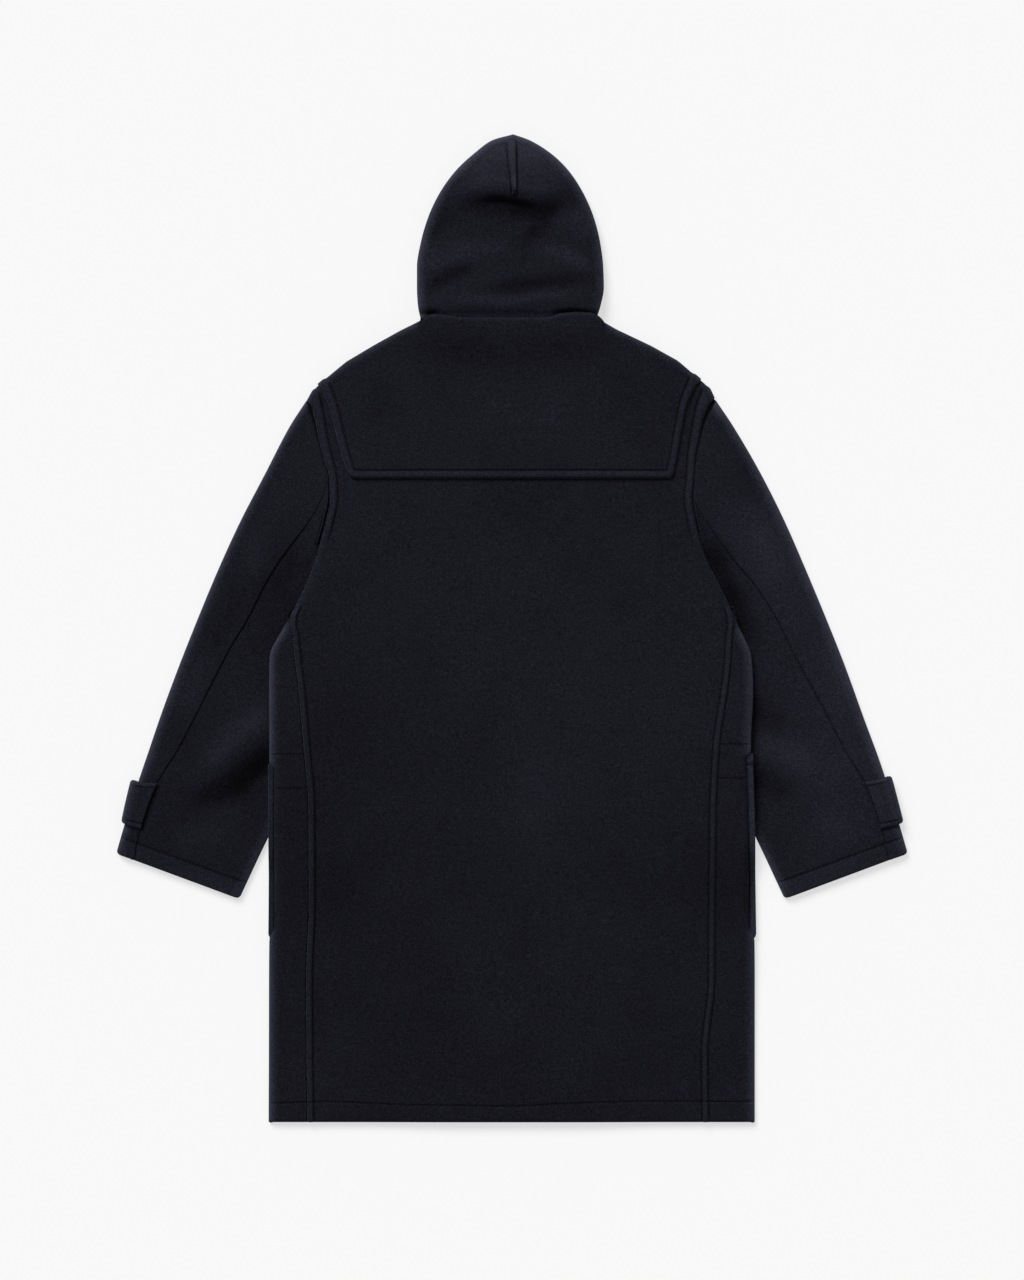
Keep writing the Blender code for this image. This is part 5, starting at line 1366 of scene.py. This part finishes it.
def sleeve_half(side, edge, part, node, look, thread):
    """Half of a sleeve: from the back seam on top, round the folded edge, to the seam underneath."""
    name = "sleeve_" + part + "_" + side_name(side)
    node += "_" + side_name(side)
    seam_at = SEAM_LINE[side]
    length = CUFF_ROW * ROW_LENGTH
    rows = marks(length, [length - CUFF_STITCH], clear=3.0) / ROW_LENGTH
    across = marks(1.0, [0.0], coarse=0.045, fine=0.007, clear=0.014)
    row_grid, line_grid = np.meshgrid(rows, seam_at + (edge - seam_at) * across, indexing="ij")
    stand = corner_stand((CUFF_ROW - rows) * ROW_LENGTH, CUFF_CORNER)
    top, start, outwards, reach = sleeve_surface(side, row_grid, line_grid, edge, stand)
    from_seam = np.linalg.norm(top[..., :2] - top[:, :1, :2], axis=2)
    to_cuff = (CUFF_ROW - row_grid) * ROW_LENGTH
    top[..., 2:] += rolled(from_seam, *SEAM_EDGE) + groove(to_cuff - CUFF_STITCH, *CUFF_GROOVE)
    top[..., 2:] += rolled(to_cuff, *CUFF_EDGE) + painted_rim_light(to_cuff, *CUFF_RIM_LIGHT)
    top[..., 2:] += relief(*CUFF_HEM) * smoothstep((CUFF_STITCH - 1.0 - to_cuff) / 2.0)[..., None]
    top[..., 2:] += rolled(row_grid * ROW_LENGTH, *HEAD_EDGE)
    lifted = strap_lift(row_grid, line_grid, seam_at) - rolled(to_cuff, *CUFF_EDGE_UNDER)[..., 0]
    fold = round_fold(top[:, -1, 2], start, outwards, reach, lifted[:, -1])
    fold[..., 2:] += toned(side * fold[..., 0], fold[..., 1], SLEEVE_LIGHT_AND_SHADE[side])
    line = top[np.argmin(np.abs(to_cuff[:, 0] - CUFF_STITCH))][:, :3] * (side, 1.0, 1.0)
    make_stitches(name + "_stitches", [line], thread, node)
    below = top.copy()
    below[..., 2] = lifted
    below[..., 2:] += folds_at(side * below[..., 0], below[..., 1], SLEEVE_FOLDS_UNDER[side])
    outer = np.concatenate([top, fold, below[:, ::-1][:, 1:][:, ::2]], axis=1)
    outer[..., 0] *= side
    towards = -float(side) * (1.0 if edge > seam_at else -1.0)
    outer = with_lip(outer, towards, 0, lip=DEEP_LIP)
    keep = None
    if edge > seam_at:
        outer = with_lip(outer, towards, 1)
        outer = with_lip(outer, towards, 1, first=False)
        corner, first = len(DEEP_LIP), len(LIP)
        head_y = curve(np.arange(len(SLEEVE_HEAD)), SLEEVE_HEAD, line_grid[0])
        keep = np.ones((outer.shape[0] - 1, outer.shape[1] - 1), bool)
        keep[:corner, first + int(np.sum(head_y > UNDERARM_Y[side] - LIP_BELOW)):] = False
        keep[:corner + SEAM_START, :first] = False
        keep[:corner + SEAM_START, -first:] = False
        # where the armhole's gap closes near the underarm, the allowance's painted shade is taken back
        outer[:corner, first:first + len(head_y), 3] -= LIP_SHADE * closing(side, head_y)
    piece = cloth(name, outer, look, towards, keep)
    dress_cloth(piece, node)


def make_sleeve(side, look, thread):
    sleeve_half(side, 0, "top", "upper_sleeve", look, thread)
    sleeve_half(side, len(SLEEVE_HEAD) - 1, "under", "under_sleeve", look, thread)


Strap = namedtuple("Strap", "top_outer top_inner foot_outer foot_inner stand_top stand_foot")
STRAP = {-1: Strap(6.40, 6.27, 7.30, 7.28, 10.0, 5.0), 1: Strap(6.31, 6.24, 7.30, 7.27, 8.5, 6.0)}
STRAP_THICKNESS = 4.4
STRAP_OFF = 0.4                     # the strap lies this far off the sleeve
STRAP_LOFT = 2.2
STRAP_STITCH = 6.0
STRAP_CORNER = 4.5
STRAP_FROM_SEAM = 0.04              # lines, from the back seam to the strap's sewn end
STRAP_SLANT = 1.1                   # the strap's edge is longer than its stations, as it runs aslant
STRAP_EDGE = (2.6, 2.6, 0.0)        # reach, drop and shade
STRAP_GROOVE = (1.3, 1.0, 0.55)     # depth, half width and shade
# strength and reach of the painted rim light at the strap's ends
STRAP_RIM_LIGHT = (0.6, 6.0)
STRAP_RIM, STRAP_RIM_SHADE = 1.3, -1.5      # a painted dark line of shadow where it lies on the sleeve
STRAP_SHADE = 0.2                   # the strap is painted lighter than the sleeve


def make_strap(side, look, thread):
    """Cuff strap: sewn into the back seam, it stands a little off the sleeve's folded edge."""
    word = side_name(side)
    strap = STRAP[side]
    length = (strap.foot_outer - strap.top_outer) * ROW_LENGTH * STRAP_SLANT
    along = marks(length, [STRAP_STITCH, length - STRAP_STITCH], coarse=3.0) / length
    across = marks(1.0, [0.0], coarse=0.06, fine=0.02, clear=0.03)
    share, line_share = np.meshgrid(along, across, indexing="ij")
    lines = SEAM_LINE[side] * (1.0 - line_share) + STRAP_FROM_SEAM
    inner = strap.top_inner + (strap.foot_inner - strap.top_inner) * share
    outer_row = strap.top_outer + (strap.foot_outer - strap.top_outer) * share
    rows = inner + (outer_row - inner) * line_share
    end = np.minimum(share, 1 - share) * length
    stand = strap.stand_top + (strap.stand_foot - strap.stand_top) * along
    stand = stand + corner_stand(end[:, 0], STRAP_CORNER)
    top, start, outwards, reach = sleeve_surface(side, rows, np.maximum(lines, 0.0), 0, stand)
    from_seam = np.linalg.norm(top[..., :2] - top[:, :1, :2], axis=2)
    edge = np.minimum(end, from_seam + 0.6)
    raised = rolled(edge, *STRAP_EDGE) + groove(end - STRAP_STITCH, *STRAP_GROOVE)
    top[..., 2:] += raised + painted_rim_light(end, *STRAP_RIM_LIGHT)
    rim = np.clip(1 - np.minimum(end, from_seam) / STRAP_RIM, 0, 1)
    top[..., 2:] += relief(0.0, STRAP_RIM_SHADE) * rim[..., None]
    top[..., 2] += STRAP_OFF + STRAP_THICKNESS + STRAP_LOFT * smoothstep(line_share) * smoothstep(end / 8.0)
    top[..., 3] += STRAP_SHADE
    lines = [top[np.argmin(np.abs(along * length - at))][2:, :3] * (side, 1.0, 1.0)
             for at in (STRAP_STITCH, length - STRAP_STITCH)]
    make_stitches("strap_stitches_" + word, lines, thread, "cuff_strap_" + word)
    fold = round_fold(top[:, -1, 2], start, outwards, reach, np.zeros(len(along)))
    below = top.copy()
    below[..., 2] = 0.0
    outer = np.concatenate([top, fold, below[:, ::-1][:, 1:]], axis=1)
    outer[..., 0] *= side
    piece = cloth("strap_" + word, outer, look, float(side), thickness=THIN_CLOTH)
    dress_cloth(piece, "cuff_strap_" + word)


# ---- hood --------------------------------------------------------------------
SEAM_CLOSED = 0.02                  # half the gap of a seam that is pressed flat
HOOD_REACH = 12.0                   # how far the hood's folded outline rounds over
HOOD_LOFT = 7.5                     # how high the hood stands above its flat stack
HOOD_LOFT_REACH = 70.0
HOOD_LOFT_FROM, HOOD_LOFT_OVER = -6.0, 55.0     # heights over its foot over which that comes in
HOOD_EDGE_SHARE = 0.4               # where the hood is narrow its edge rounds over this share of it
HOOD_ROLL = 2.0                     # height of a low roll over the neck seam
HOOD_ROLL_FROM, HOOD_ROLL_OVER, HOOD_ROLL_END = 2.0, 8.0, 50.0      # in heights over the hood's foot
HOOD_SEAM_EDGE = (2.0, 0.9, 0.5)    # reach, drop and shade of the two halves' edges at the middle seam
BAND_GROOVE = (1.2, 1.3, 0.8)       # depth, half width and shade of the lines beside the band
# strength and reach of the painted rim light along the hood's outline
HOOD_RIM_LIGHT = (1.6, 14.0)
HOOD_FOOT_Y = 389.0
CROWN_Y, CROWN_WIDTH, CROWN_LOFT = 572.0, 30.0, 2.5
CROWN_PAINTED_LIGHT = 0.45                   # painted light on the crown, which faces the light
CROWN_LIGHT_Y, CROWN_LIGHT_OVER = 552.0, 24.0
BAND_TOP_Y = 611.0
BAND_WIDENS = 65.0                  # length over which the band comes to its full width
BAND_HALF = (3.0, 5.6)              # half its width at the foot and at the crown
BAND_LEANS = (1.6, -1.6)            # its middle beside the seam, in the same places
BAND_OFF = 0.9                      # the band lies this far over the hood
BAND_THICKNESS = 1.6
BAND_EDGE = (1.8, 1.8, 1.2)         # reach, drop and shade
BAND_TOP_ROUND, BAND_TOP_DROP = 10.0, 5.0   # it rounds over at its top
# the band's foot is painted darker over this length, as shade where it runs into the crease
BAND_FOOT_FADE, BAND_FOOT_SHADE = 12.0, -1.1
BAND_NARROW_OUTLINE_Y = 615.0
HOOD_TONES = named(Tone, (0.0, 490.0, 60.0, -0.16), (-60.0, 440.0, 50.0, 0.06), (60.0, 470.0, 45.0, 0.05))
HOOD_FOLDS = [
    Fold([(-42.0, 531.0), (-15.0, 533.5), (8.0, 529.5), (34.0, 522.5)], 4.2, -5.2),
    Fold([(-6.0, 523.0), (20.0, 517.0), (46.0, 517.0), (74.0, 527.0)], 9.0, -2.2),
    Fold([(-80.0, 517.0), (-40.0, 526.0), (0.0, 524.0), (30.0, 520.0), (60.0, 528.0), (80.0, 540.0)],
         12.0, -4.5),
    Fold([(-84.0, 540.0), (-34.0, 552.0), (0.0, 551.0), (30.0, 546.0), (60.0, 550.0), (80.0, 556.0)],
         13.0, 4.0),
    Fold([(-60.0, 582.0), (-20.0, 596.0), (20.0, 596.0), (60.0, 580.0)], 22.0, 4.0),
    Fold([(-108.0, 480.0), (-84.0, 505.0), (-66.0, 518.0)], 12.0, -2.4),
    Fold([(52.0, 518.0), (36.0, 498.0), (14.0, 476.0)], 10.0, -2.8),
    Fold([(-110.0, 417.0), (-96.0, 426.0), (-70.0, 440.0), (-40.0, 446.0)], 9.0, -4.2),
    Fold([(-44.0, 418.0), (-10.0, 422.0), (30.0, 427.0), (64.0, 431.0), (108.0, 433.0)], 9.5, -3.9),
    Fold([(24.0, 462.0), (52.0, 466.0), (80.0, 457.0), (110.0, 440.0)], 11.0, 3.6),
    Fold([(-104.0, 448.0), (-60.0, 466.0), (-20.0, 470.0), (20.0, 464.0)], 14.0, 2.6),
    Fold([(-96.0, 405.0), (-50.0, 408.0), (0.0, 405.0), (40.0, 412.0), (98.0, 410.0)], 9.0, 2.6),
    Fold([(50.0, 392.0), (74.0, 393.5), (92.0, 392.0), (108.0, 388.5)], 3.8, -7.0),
    Fold([(-116.0, 389.5), (-104.0, 391.5), (-90.0, 393.0)], 4.6, -4.8),
    Fold([(-30.0, 492.0), (0.0, 488.0), (30.0, 496.0)], 16.0, 1.2),
    Fold([(70.0, 520.0), (88.0, 500.0), (98.0, 476.0)], 16.0, 2.4),
    Fold([(-112.0, 440.0), (-104.0, 460.0), (-96.0, 480.0)], 16.0, 1.6),
]
# on the floor side a crease can only rise from the floor
HOOD_FOLDS_UNDER = [
    Fold([(-74.0, 436.0), (-84.0, 466.0), (-80.0, 496.0)], 7.0, 1.7),
    Fold([(-64.0, 398.0), (-86.0, 410.0)], 6.0, 1.4),
    Fold([(74.0, 420.0), (86.0, 446.0), (84.0, 474.0)], 6.5, 1.5),
    Fold([(58.0, 536.0), (70.0, 516.0)], 6.0, 1.3),
]


def hood_surface(x, y, from_outline):
    """Height of the back of the hood."""
    full = np.sqrt(np.clip(1 - (1 - np.minimum(from_outline / HOOD_LOFT_REACH, 1)) ** 2, 0, 1))
    up = y - HOOD_FOOT_Y
    roll = HOOD_ROLL * smoothstep((up - HOOD_ROLL_FROM) / HOOD_ROLL_OVER)
    rest = blanket.at(x, y) + roll * (1 - smoothstep(up / HOOD_ROLL_END))
    loft = HOOD_LOFT * full * smoothstep((up - HOOD_LOFT_FROM) / HOOD_LOFT_OVER)
    crown = CROWN_LOFT * full * np.exp(-((y - CROWN_Y) / CROWN_WIDTH) ** 2)
    return STACK + rest + loft + crown


# patches painted lighter or darker, and painted light on the crown
def hood_tone_and_crown_light(x, y):
    lighter = smoothstep((y - CROWN_LIGHT_Y) / CROWN_LIGHT_OVER)[..., None]
    return toned(x, y, HOOD_TONES) + relief(0.0, CROWN_PAINTED_LIGHT) * lighter


def band_middle(y):
    low, high = BAND_LEANS
    return HOOD_SEAM_X + low + (high - low) * smoothstep((y - BAND_FOOT_Y) / BAND_WIDENS)


def band_half(y):
    low, high = BAND_HALF
    return low + (high - low) * smoothstep((y - BAND_FOOT_Y) / BAND_WIDENS)


def hood_relief(x, y, from_outline):
    """Creases, the middle seam, the band's two sides, and painted rim light, light and shade on the hood's
    back.
    """
    crown = smoothstep((y - BAND_FOOT_Y + 6.0) / 10.0)[..., None]
    raised = folds_at(x, y, HOOD_FOLDS) + rolled(np.abs(x - HOOD_SEAM_X), *HOOD_SEAM_EDGE) * crown
    beside_band = np.abs(x - band_middle(y)) - band_half(y) - 0.5
    raised = raised + groove(beside_band, *BAND_GROOVE) * crown
    raised = raised + painted_rim_light(from_outline, *HOOD_RIM_LIGHT) * smoothstep((y - HOOD_FOOT_Y) / 14.0)[..., None]
    raised = raised + hood_tone_and_crown_light(x, y)
    # the seam at the neck is painted darker, as shadow where the hood stands off the yoke, towards both ends
    ends = 0.15 + 0.85 * smoothstep((x - 42.0) / 14.0) + 1.25 * smoothstep((-x - 84.0) / 10.0)
    return raised + relief(0.0, -0.6) * (ends * (1 - smoothstep((y - HOOD_FOOT_Y) / 9.0)))[..., None]


def make_hood(side, look):
    """Half of the hood: its back, the folded outline and what returns underneath to the face opening."""
    word = side_name(side)
    share = np.linspace(0, 1, len(HOOD))
    rays = marks(1.0, [0.0, 1.0], coarse=0.012, fine=0.004, clear=0.01)
    at = {name: curve(share, column(HOOD, name), rays)
          for name in ("x_" + word, "y", "spine_y", "return_x", "return_y")}
    outline = np.stack([at["x_" + word], at["y"]], -1)
    spine = np.stack([np.full(len(rays), SEAM_CLOSED), at["spine_y"]], -1)
    opening = np.stack([at["return_x"] + SEAM / 2, at["return_y"]], -1)
    outwards = outline - spine
    total = np.linalg.norm(outwards, axis=1)
    outwards /= total[:, None]
    reach = np.minimum(HOOD_REACH, HOOD_EDGE_SHARE * total)
    fold = outline - outwards * reach[:, None]
    across = marks(1.0, [0.0], coarse=0.035, fine=0.01, clear=0.014)
    top = spine[:, None] + (fold - spine)[:, None] * across[None, :, None]
    x, y = HOOD_SEAM_X + side * top[..., 0], top[..., 1]
    from_outline = np.linalg.norm(outline[:, None] - top, axis=2)
    raised = hood_relief(x, y, from_outline)
    back = plan(x, y, hood_surface(x, y, from_outline), raised)
    floor = under_all(HOOD_SEAM_X + side * fold[:, 0], fold[:, 1])
    turn = round_fold(back[:, -1, 2], fold, outwards, reach, floor, 19)
    turn[..., 0] = HOOD_SEAM_X + side * turn[..., 0]
    turn[..., 2:] += hood_tone_and_crown_light(turn[..., 0], turn[..., 1])
    under = fold[:, None] + (opening - fold)[:, None] * np.linspace(0, 1, 18)[None, 1:, None]
    x, y = HOOD_SEAM_X + side * under[..., 0], under[..., 1]
    below = plan(x, y, under_all(x, y))
    below[..., 2:] += folds_at(x, y, HOOD_FOLDS_UNDER)
    outer = np.concatenate([back, turn, below], axis=1)
    towards = -float(side)
    if side > 0:
        outer = with_lip(outer, towards, 1)
    outer = with_lip(outer, towards, 0, lip=DEEP_LIP)
    piece = cloth("hood_half_" + word, outer, look, towards)
    dress_cloth(piece, "hood_" + word)


def make_band(look, thread):
    """Strip over the middle seam at the crown, with a stitched line along each side."""
    length = BAND_TOP_Y - BAND_FOOT_Y
    up = marks(length, [0.0], coarse=2.5)
    share = np.linspace(-1, 1, 17)
    y = (BAND_FOOT_Y + up)[:, None] + 0.0 * share[None, :]
    half = band_half(BAND_FOOT_Y + up)[:, None]
    x = band_middle(y) + half * share[None, :]
    z = hood_surface(x, y, np.maximum(BAND_NARROW_OUTLINE_Y - y, 0.0)) + BAND_OFF
    inside = half * (1 - np.abs(share[None, :]))
    raised = folds_at(x, y, HOOD_FOLDS) + rolled(inside, *BAND_EDGE)
    # the band is painted lighter, most along its middle, as a highlight on its rounded top
    raised = raised + relief(1.0, 0.35) + relief(0.7, 0.35) * (1 - share**2)[None, :, None]
    raised = raised + relief(0.0, BAND_FOOT_SHADE) * (1 - smoothstep(up / BAND_FOOT_FADE))[:, None, None]
    near_top = np.clip((up - (length - BAND_TOP_ROUND)) / BAND_TOP_ROUND, 0, 1)[:, None]
    z = z - BAND_TOP_DROP * (1 - np.sqrt(np.maximum(1 - near_top**2, 0.0)))
    points = plan(x, y, z, raised)
    lines = [points[:-8, column_at, :3] for column_at in (2, -3)]
    make_stitches("band_stitches", lines, thread, "hood_crown_band")
    piece = cloth("hood_band", points, look, -1.0, thickness=BAND_THICKNESS)
    dress_cloth(piece, "hood_crown_band")


# ---- closure -----------------------------------------------------------------
TOGGLE_YS = [262.0, 122.0, -18.0, -158.0]
TOGGLE_LENGTH = 54.0
TOGGLE_RADIUS = 4.0
TOGGLE_OFF = 0.2                    # height of a toggle off the floor
CORD_RADIUS = 1.25
CORD_SPREAD = 1.7                   # half the gap between the two runs of a toggle's cord
LOOP_SPREAD = 5.5                   # and of a catch loop
PATCH_THICKNESS = 1.5
PATCH_FROM, PATCH_TO = 38.0, 66.0   # distances of a leather patch from the centre line
PATCH_HALF = 15.0
PATCH_CUT = 5.0                     # the patch's corners are cut off this far
# rings of a patch from its rim to its middle: inset and height, with a pressed line at the fifth
PATCH_RINGS = [(0.0, PATCH_THICKNESS), (0.0, 0.5), (0.5, 0.0), (2.2, 0.0), (2.8, 0.25), (3.4, 0.0),
               (9.0, 0.0)]
PATCH_STITCHED = 4                  # the thread runs along this ring
PATCH_STITCH = Stitch(3.0, 2.2, 0.55, 0.22)
CORD_INSET = 5.0                    # a cord ends this far inside the patch's outer edge
CORD_SIDES, TOGGLE_SIDES = 12, 28
CORD_BEND_X, CORD_DIPS = -22.0, 0.4     # past its patch the toggle's cord comes down a little
# then it falls to the toggle's waist: place across, half spread and height
CORD_REACH = TOGGLE_RADIUS + CORD_RADIUS
CORD_FALL = [(-14.0, CORD_SPREAD, 6.6), (-8.0, CORD_SPREAD, 5.2), (-CORD_REACH, 1.1, 4.4)]
CORD_TURN = (-CORD_REACH + 0.2, 0.0, 4.2)
LOOP_BEND = 8.0                     # the loop bends this far past its patch's inner edge
LOOP_OVER_LAP = 1.5                 # and is down this far past the front's edge
LOOP_ENDS = [(10.0, LOOP_SPREAD), (-6.0, LOOP_SPREAD), (-10.5, 3.6)]
LOOP_TURN = (-12.2, 0.0)
TOGGLE_TIP = 0.08                   # share of the toggle's length that has closer rings
ToggleRing = namedtuple("ToggleRing", "share radius")
TOGGLE = named(ToggleRing, (0.0, 0.02), (0.008, 0.30), (0.03, 0.56), (0.07, 0.76), (0.24, 0.98),
    (0.42, 0.94), (0.50, 0.80), (0.58, 0.94), (0.76, 0.98), (0.93, 0.76), (0.97, 0.56), (0.992, 0.30),
    (1.0, 0.02))


def lathed(name, path, radii, sides, look):
    """Round bar along a path."""
    path = np.asarray(path, float)
    radii = np.broadcast_to(radii, len(path))
    tangents = np.gradient(path, axis=0)
    tangents /= np.linalg.norm(tangents, axis=1, keepdims=True)
    across = np.cross(tangents, (0.0, 0.0, 1.0))
    across /= np.linalg.norm(across, axis=1, keepdims=True)
    up = np.cross(across, tangents)
    angle = np.arange(sides) * 2 * math.pi / sides
    ring = np.cos(angle)[None, :, None] * across[:, None] + np.sin(angle)[None, :, None] * up[:, None]
    vertices = (path[:, None] + ring * radii[:, None, None]).reshape(-1, 3)
    i, k = np.meshgrid(np.arange(len(path) - 1), np.arange(sides), indexing="ij")
    a, b = i * sides + k, i * sides + (k + 1) % sides
    faces = np.stack([a, b, b + sides, a + sides], axis=-1).reshape(-1, 4)
    ends = []
    for first in (0, (len(path) - 1) * sides):
        last = first + sides
        ends.append([first, first + 1, last - 2, last - 1])
        ends += [[first + k - 1, first + k, last - k - 1, last - k] for k in range(2, sides // 2)]
    return add_mesh(name, vertices, np.concatenate([faces, np.array(ends)]), look)


def make_patch(name, side, y, under, look, thread):
    """Leather patch with cut corners and pressed edges, sewn round its rim."""
    middle, half_x = (PATCH_FROM + PATCH_TO) / 2, (PATCH_TO - PATCH_FROM) / 2
    outside = under - SEAM - PATCH_THICKNESS
    vertices = []
    for inset, up in PATCH_RINGS:
        hx, hy, cut = half_x - inset, PATCH_HALF - inset, max(PATCH_CUT - 0.6 * inset, 0.4)
        corners = [(-hx, -hy + cut), (-hx + cut, -hy), (hx - cut, -hy), (hx, -hy + cut),
                   (hx, hy - cut), (hx - cut, hy), (-hx + cut, hy), (-hx, hy - cut)]
        vertices += [(side * (middle + dx), y + dy, outside + up) for dx, dy in corners]
    last = len(vertices) - 8
    faces = [[r + k, r + (k + 1) % 8, r + 8 + (k + 1) % 8, r + 8 + k]
             for r in range(0, last, 8) for k in range(8)]
    for first in (0, last):
        faces += [[first + k for k in cell] for cell in ((0, 1, 2, 3), (0, 3, 4, 7), (4, 5, 6, 7))]
    dress(add_mesh(name + "_leather", np.array(vertices), np.array(faces), look), name)
    ring = vertices[PATCH_STITCHED * 8:(PATCH_STITCHED + 1) * 8]
    make_stitches(name + "_thread", [np.array(ring + ring[:1]) - (0.0, 0.0, 0.2)], thread, name,
                  up=(0.0, 0.0, -1.0), size=PATCH_STITCH)


def make_thong(name, node, y, half, turn, look):
    """Cord that runs out along half, round the turn and back beside itself."""
    path = [(x, y + dy, z) for x, dy, z in half + [turn] + [(x, -dy, z) for x, dy, z in half[::-1]]]
    dress(lathed(name, smooth_path(path, 6), CORD_RADIUS, CORD_SIDES, look), node)


def make_closure(number, y, horn, leather, thread):
    """One fastening: toggle, its cord on the left front, and the loop on the right front."""
    under_left, under_right = LANE_HEIGHT, LANE_HEIGHT + LAYER
    make_patch("toggle_patch_%d" % number, -1, y, under_left, leather, thread)
    make_patch("loop_patch_%d" % number, 1, y, under_right, leather, thread)
    middle = TOGGLE_RADIUS + TOGGLE_OFF
    tip, run = np.linspace(0, TOGGLE_TIP, 9), np.linspace(TOGGLE_TIP, 1 - TOGGLE_TIP, 40)
    share = np.unique(np.concatenate([tip, run, np.linspace(1 - TOGGLE_TIP, 1, 9)]))
    radius = curve(column(TOGGLE, "share"), column(TOGGLE, "radius"), share) * TOGGLE_RADIUS
    path = [(0.0, y + TOGGLE_LENGTH * (s - 0.5), middle) for s in share]
    dress(lathed("toggle_horn_%d" % number, path, radius, TOGGLE_SIDES, horn), "toggle_%d" % number)
    at_left, at_right = (under - SEAM - PATCH_THICKNESS - SEAM - CORD_RADIUS
                         for under in (under_left, under_right))
    half = [(-PATCH_TO + CORD_INSET, CORD_SPREAD, at_left), (-PATCH_FROM, CORD_SPREAD, at_left),
            (CORD_BEND_X, CORD_SPREAD, at_left - CORD_DIPS)] + CORD_FALL
    make_thong("toggle_thong_%d" % number, "toggle_cord_%d" % number, y, half, CORD_TURN, leather)
    over = middle + TOGGLE_RADIUS + SEAM + CORD_RADIUS
    half = [(PATCH_TO - CORD_INSET, LOOP_SPREAD, at_right), (PATCH_FROM + LOOP_BEND, LOOP_SPREAD, at_right),
            (FRONT_LAP + LOOP_OVER_LAP, LOOP_SPREAD, over)] + [(*end, over) for end in LOOP_ENDS]
    make_thong("catch_thong_%d" % number, "catch_loop_%d" % number, y, half, (*LOOP_TURN, over), leather)


# ---- floor, light and camera -------------------------------------------------
FLOOR_DULL = 0.34                   # a light table: part of its brightness comes through from below
FLOOR_GLOW = 0.62
FLOOR_HALF = 9.0                    # in metres, as are the next two
FLOOR_Z = -0.0005
FRAME_HEIGHT = 1.600                # height of the picture at the coat
AIM_Y, AIM_Z = -0.0147, 0.006
SKY = 0.31
SUN = 3.05
SUN_WIDTH = 30.0                    # degrees: a wide window
SUN_FROM = (-0.44, 0.84, 0.82)
WHITE = (1.0, 1.0, 1.0, 1.0)


def make_stage():
    mesh = bpy.data.meshes.new("floor")
    corners = [(x, y, FLOOR_Z) for x, y in box_outline(-FLOOR_HALF, FLOOR_HALF, -FLOOR_HALF, FLOOR_HALF)]
    mesh.from_pydata(corners, [], [(0, 1, 2, 3)])
    look = Nodes("floor")
    mesh.materials.append(look.finish(
        Base_Color=(FLOOR_DULL, FLOOR_DULL, FLOOR_DULL, 1.0), Emission_Color=WHITE,
        Emission_Strength=FLOOR_GLOW, Roughness=1.0, Specular_IOR_Level=0.0))
    floor = bpy.data.objects.new("floor", mesh)
    bpy.context.scene.collection.objects.link(floor)


def make_light():
    world = bpy.data.worlds.new("studio")
    bpy.context.scene.world = world
    world.use_nodes = True
    background = world.node_tree.nodes["Background"]
    background.inputs["Color"].default_value = WHITE
    background.inputs["Strength"].default_value = SKY
    lamp = bpy.data.lights.new("window", "SUN")
    lamp.energy = SUN
    lamp.angle = math.radians(SUN_WIDTH)
    light = bpy.data.objects.new("window", lamp)
    x, y, z = SUN_FROM
    light.rotation_euler = (math.atan2(math.hypot(x, y), z), 0.0, math.atan2(x, -y))
    bpy.context.scene.collection.objects.link(light)


def make_camera():
    data = bpy.data.cameras.new("camera")
    data.type = "PERSP"
    data.lens = 150.0
    data.sensor_width = 36.0
    data.clip_end = 100.0
    made = bpy.data.objects.new("camera", data)
    made.location = (0.0, AIM_Y, AIM_Z + FRAME_HEIGHT * data.lens / data.sensor_width)
    bpy.context.scene.collection.objects.link(made)
    bpy.context.scene.camera = made
    bpy.context.scene.view_settings.view_transform = "Standard"
    bpy.context.scene.view_settings.look = "None"


NAVY = (0.0085, 0.0088, 0.0131)


def main():
    looks = {name: melton(name + "_look", NAVY)
             for name in ("back", "front", "sleeve", "hood", "pocket", "yoke", "trim")}
    thread = thread_look()
    make_back(looks["back"], thread)
    for side in (-1, 1):
        make_front(side, looks["front"], thread)
        make_pocket(side, looks["pocket"], looks["trim"])
        make_sleeve(side, looks["sleeve"], thread)
        make_strap(side, looks["trim"], thread)
        make_hood(side, looks["hood"])
    make_band(looks["trim"], thread)
    make_yoke(looks["yoke"], thread)
    horn, leather = horn_look(), leather_look()
    for number, y in enumerate(TOGGLE_YS, start=1):
        make_closure(number, y, horn, leather, thread)
    make_stage()
    make_light()
    make_camera()


main()
bpy.context.view_layer.update()
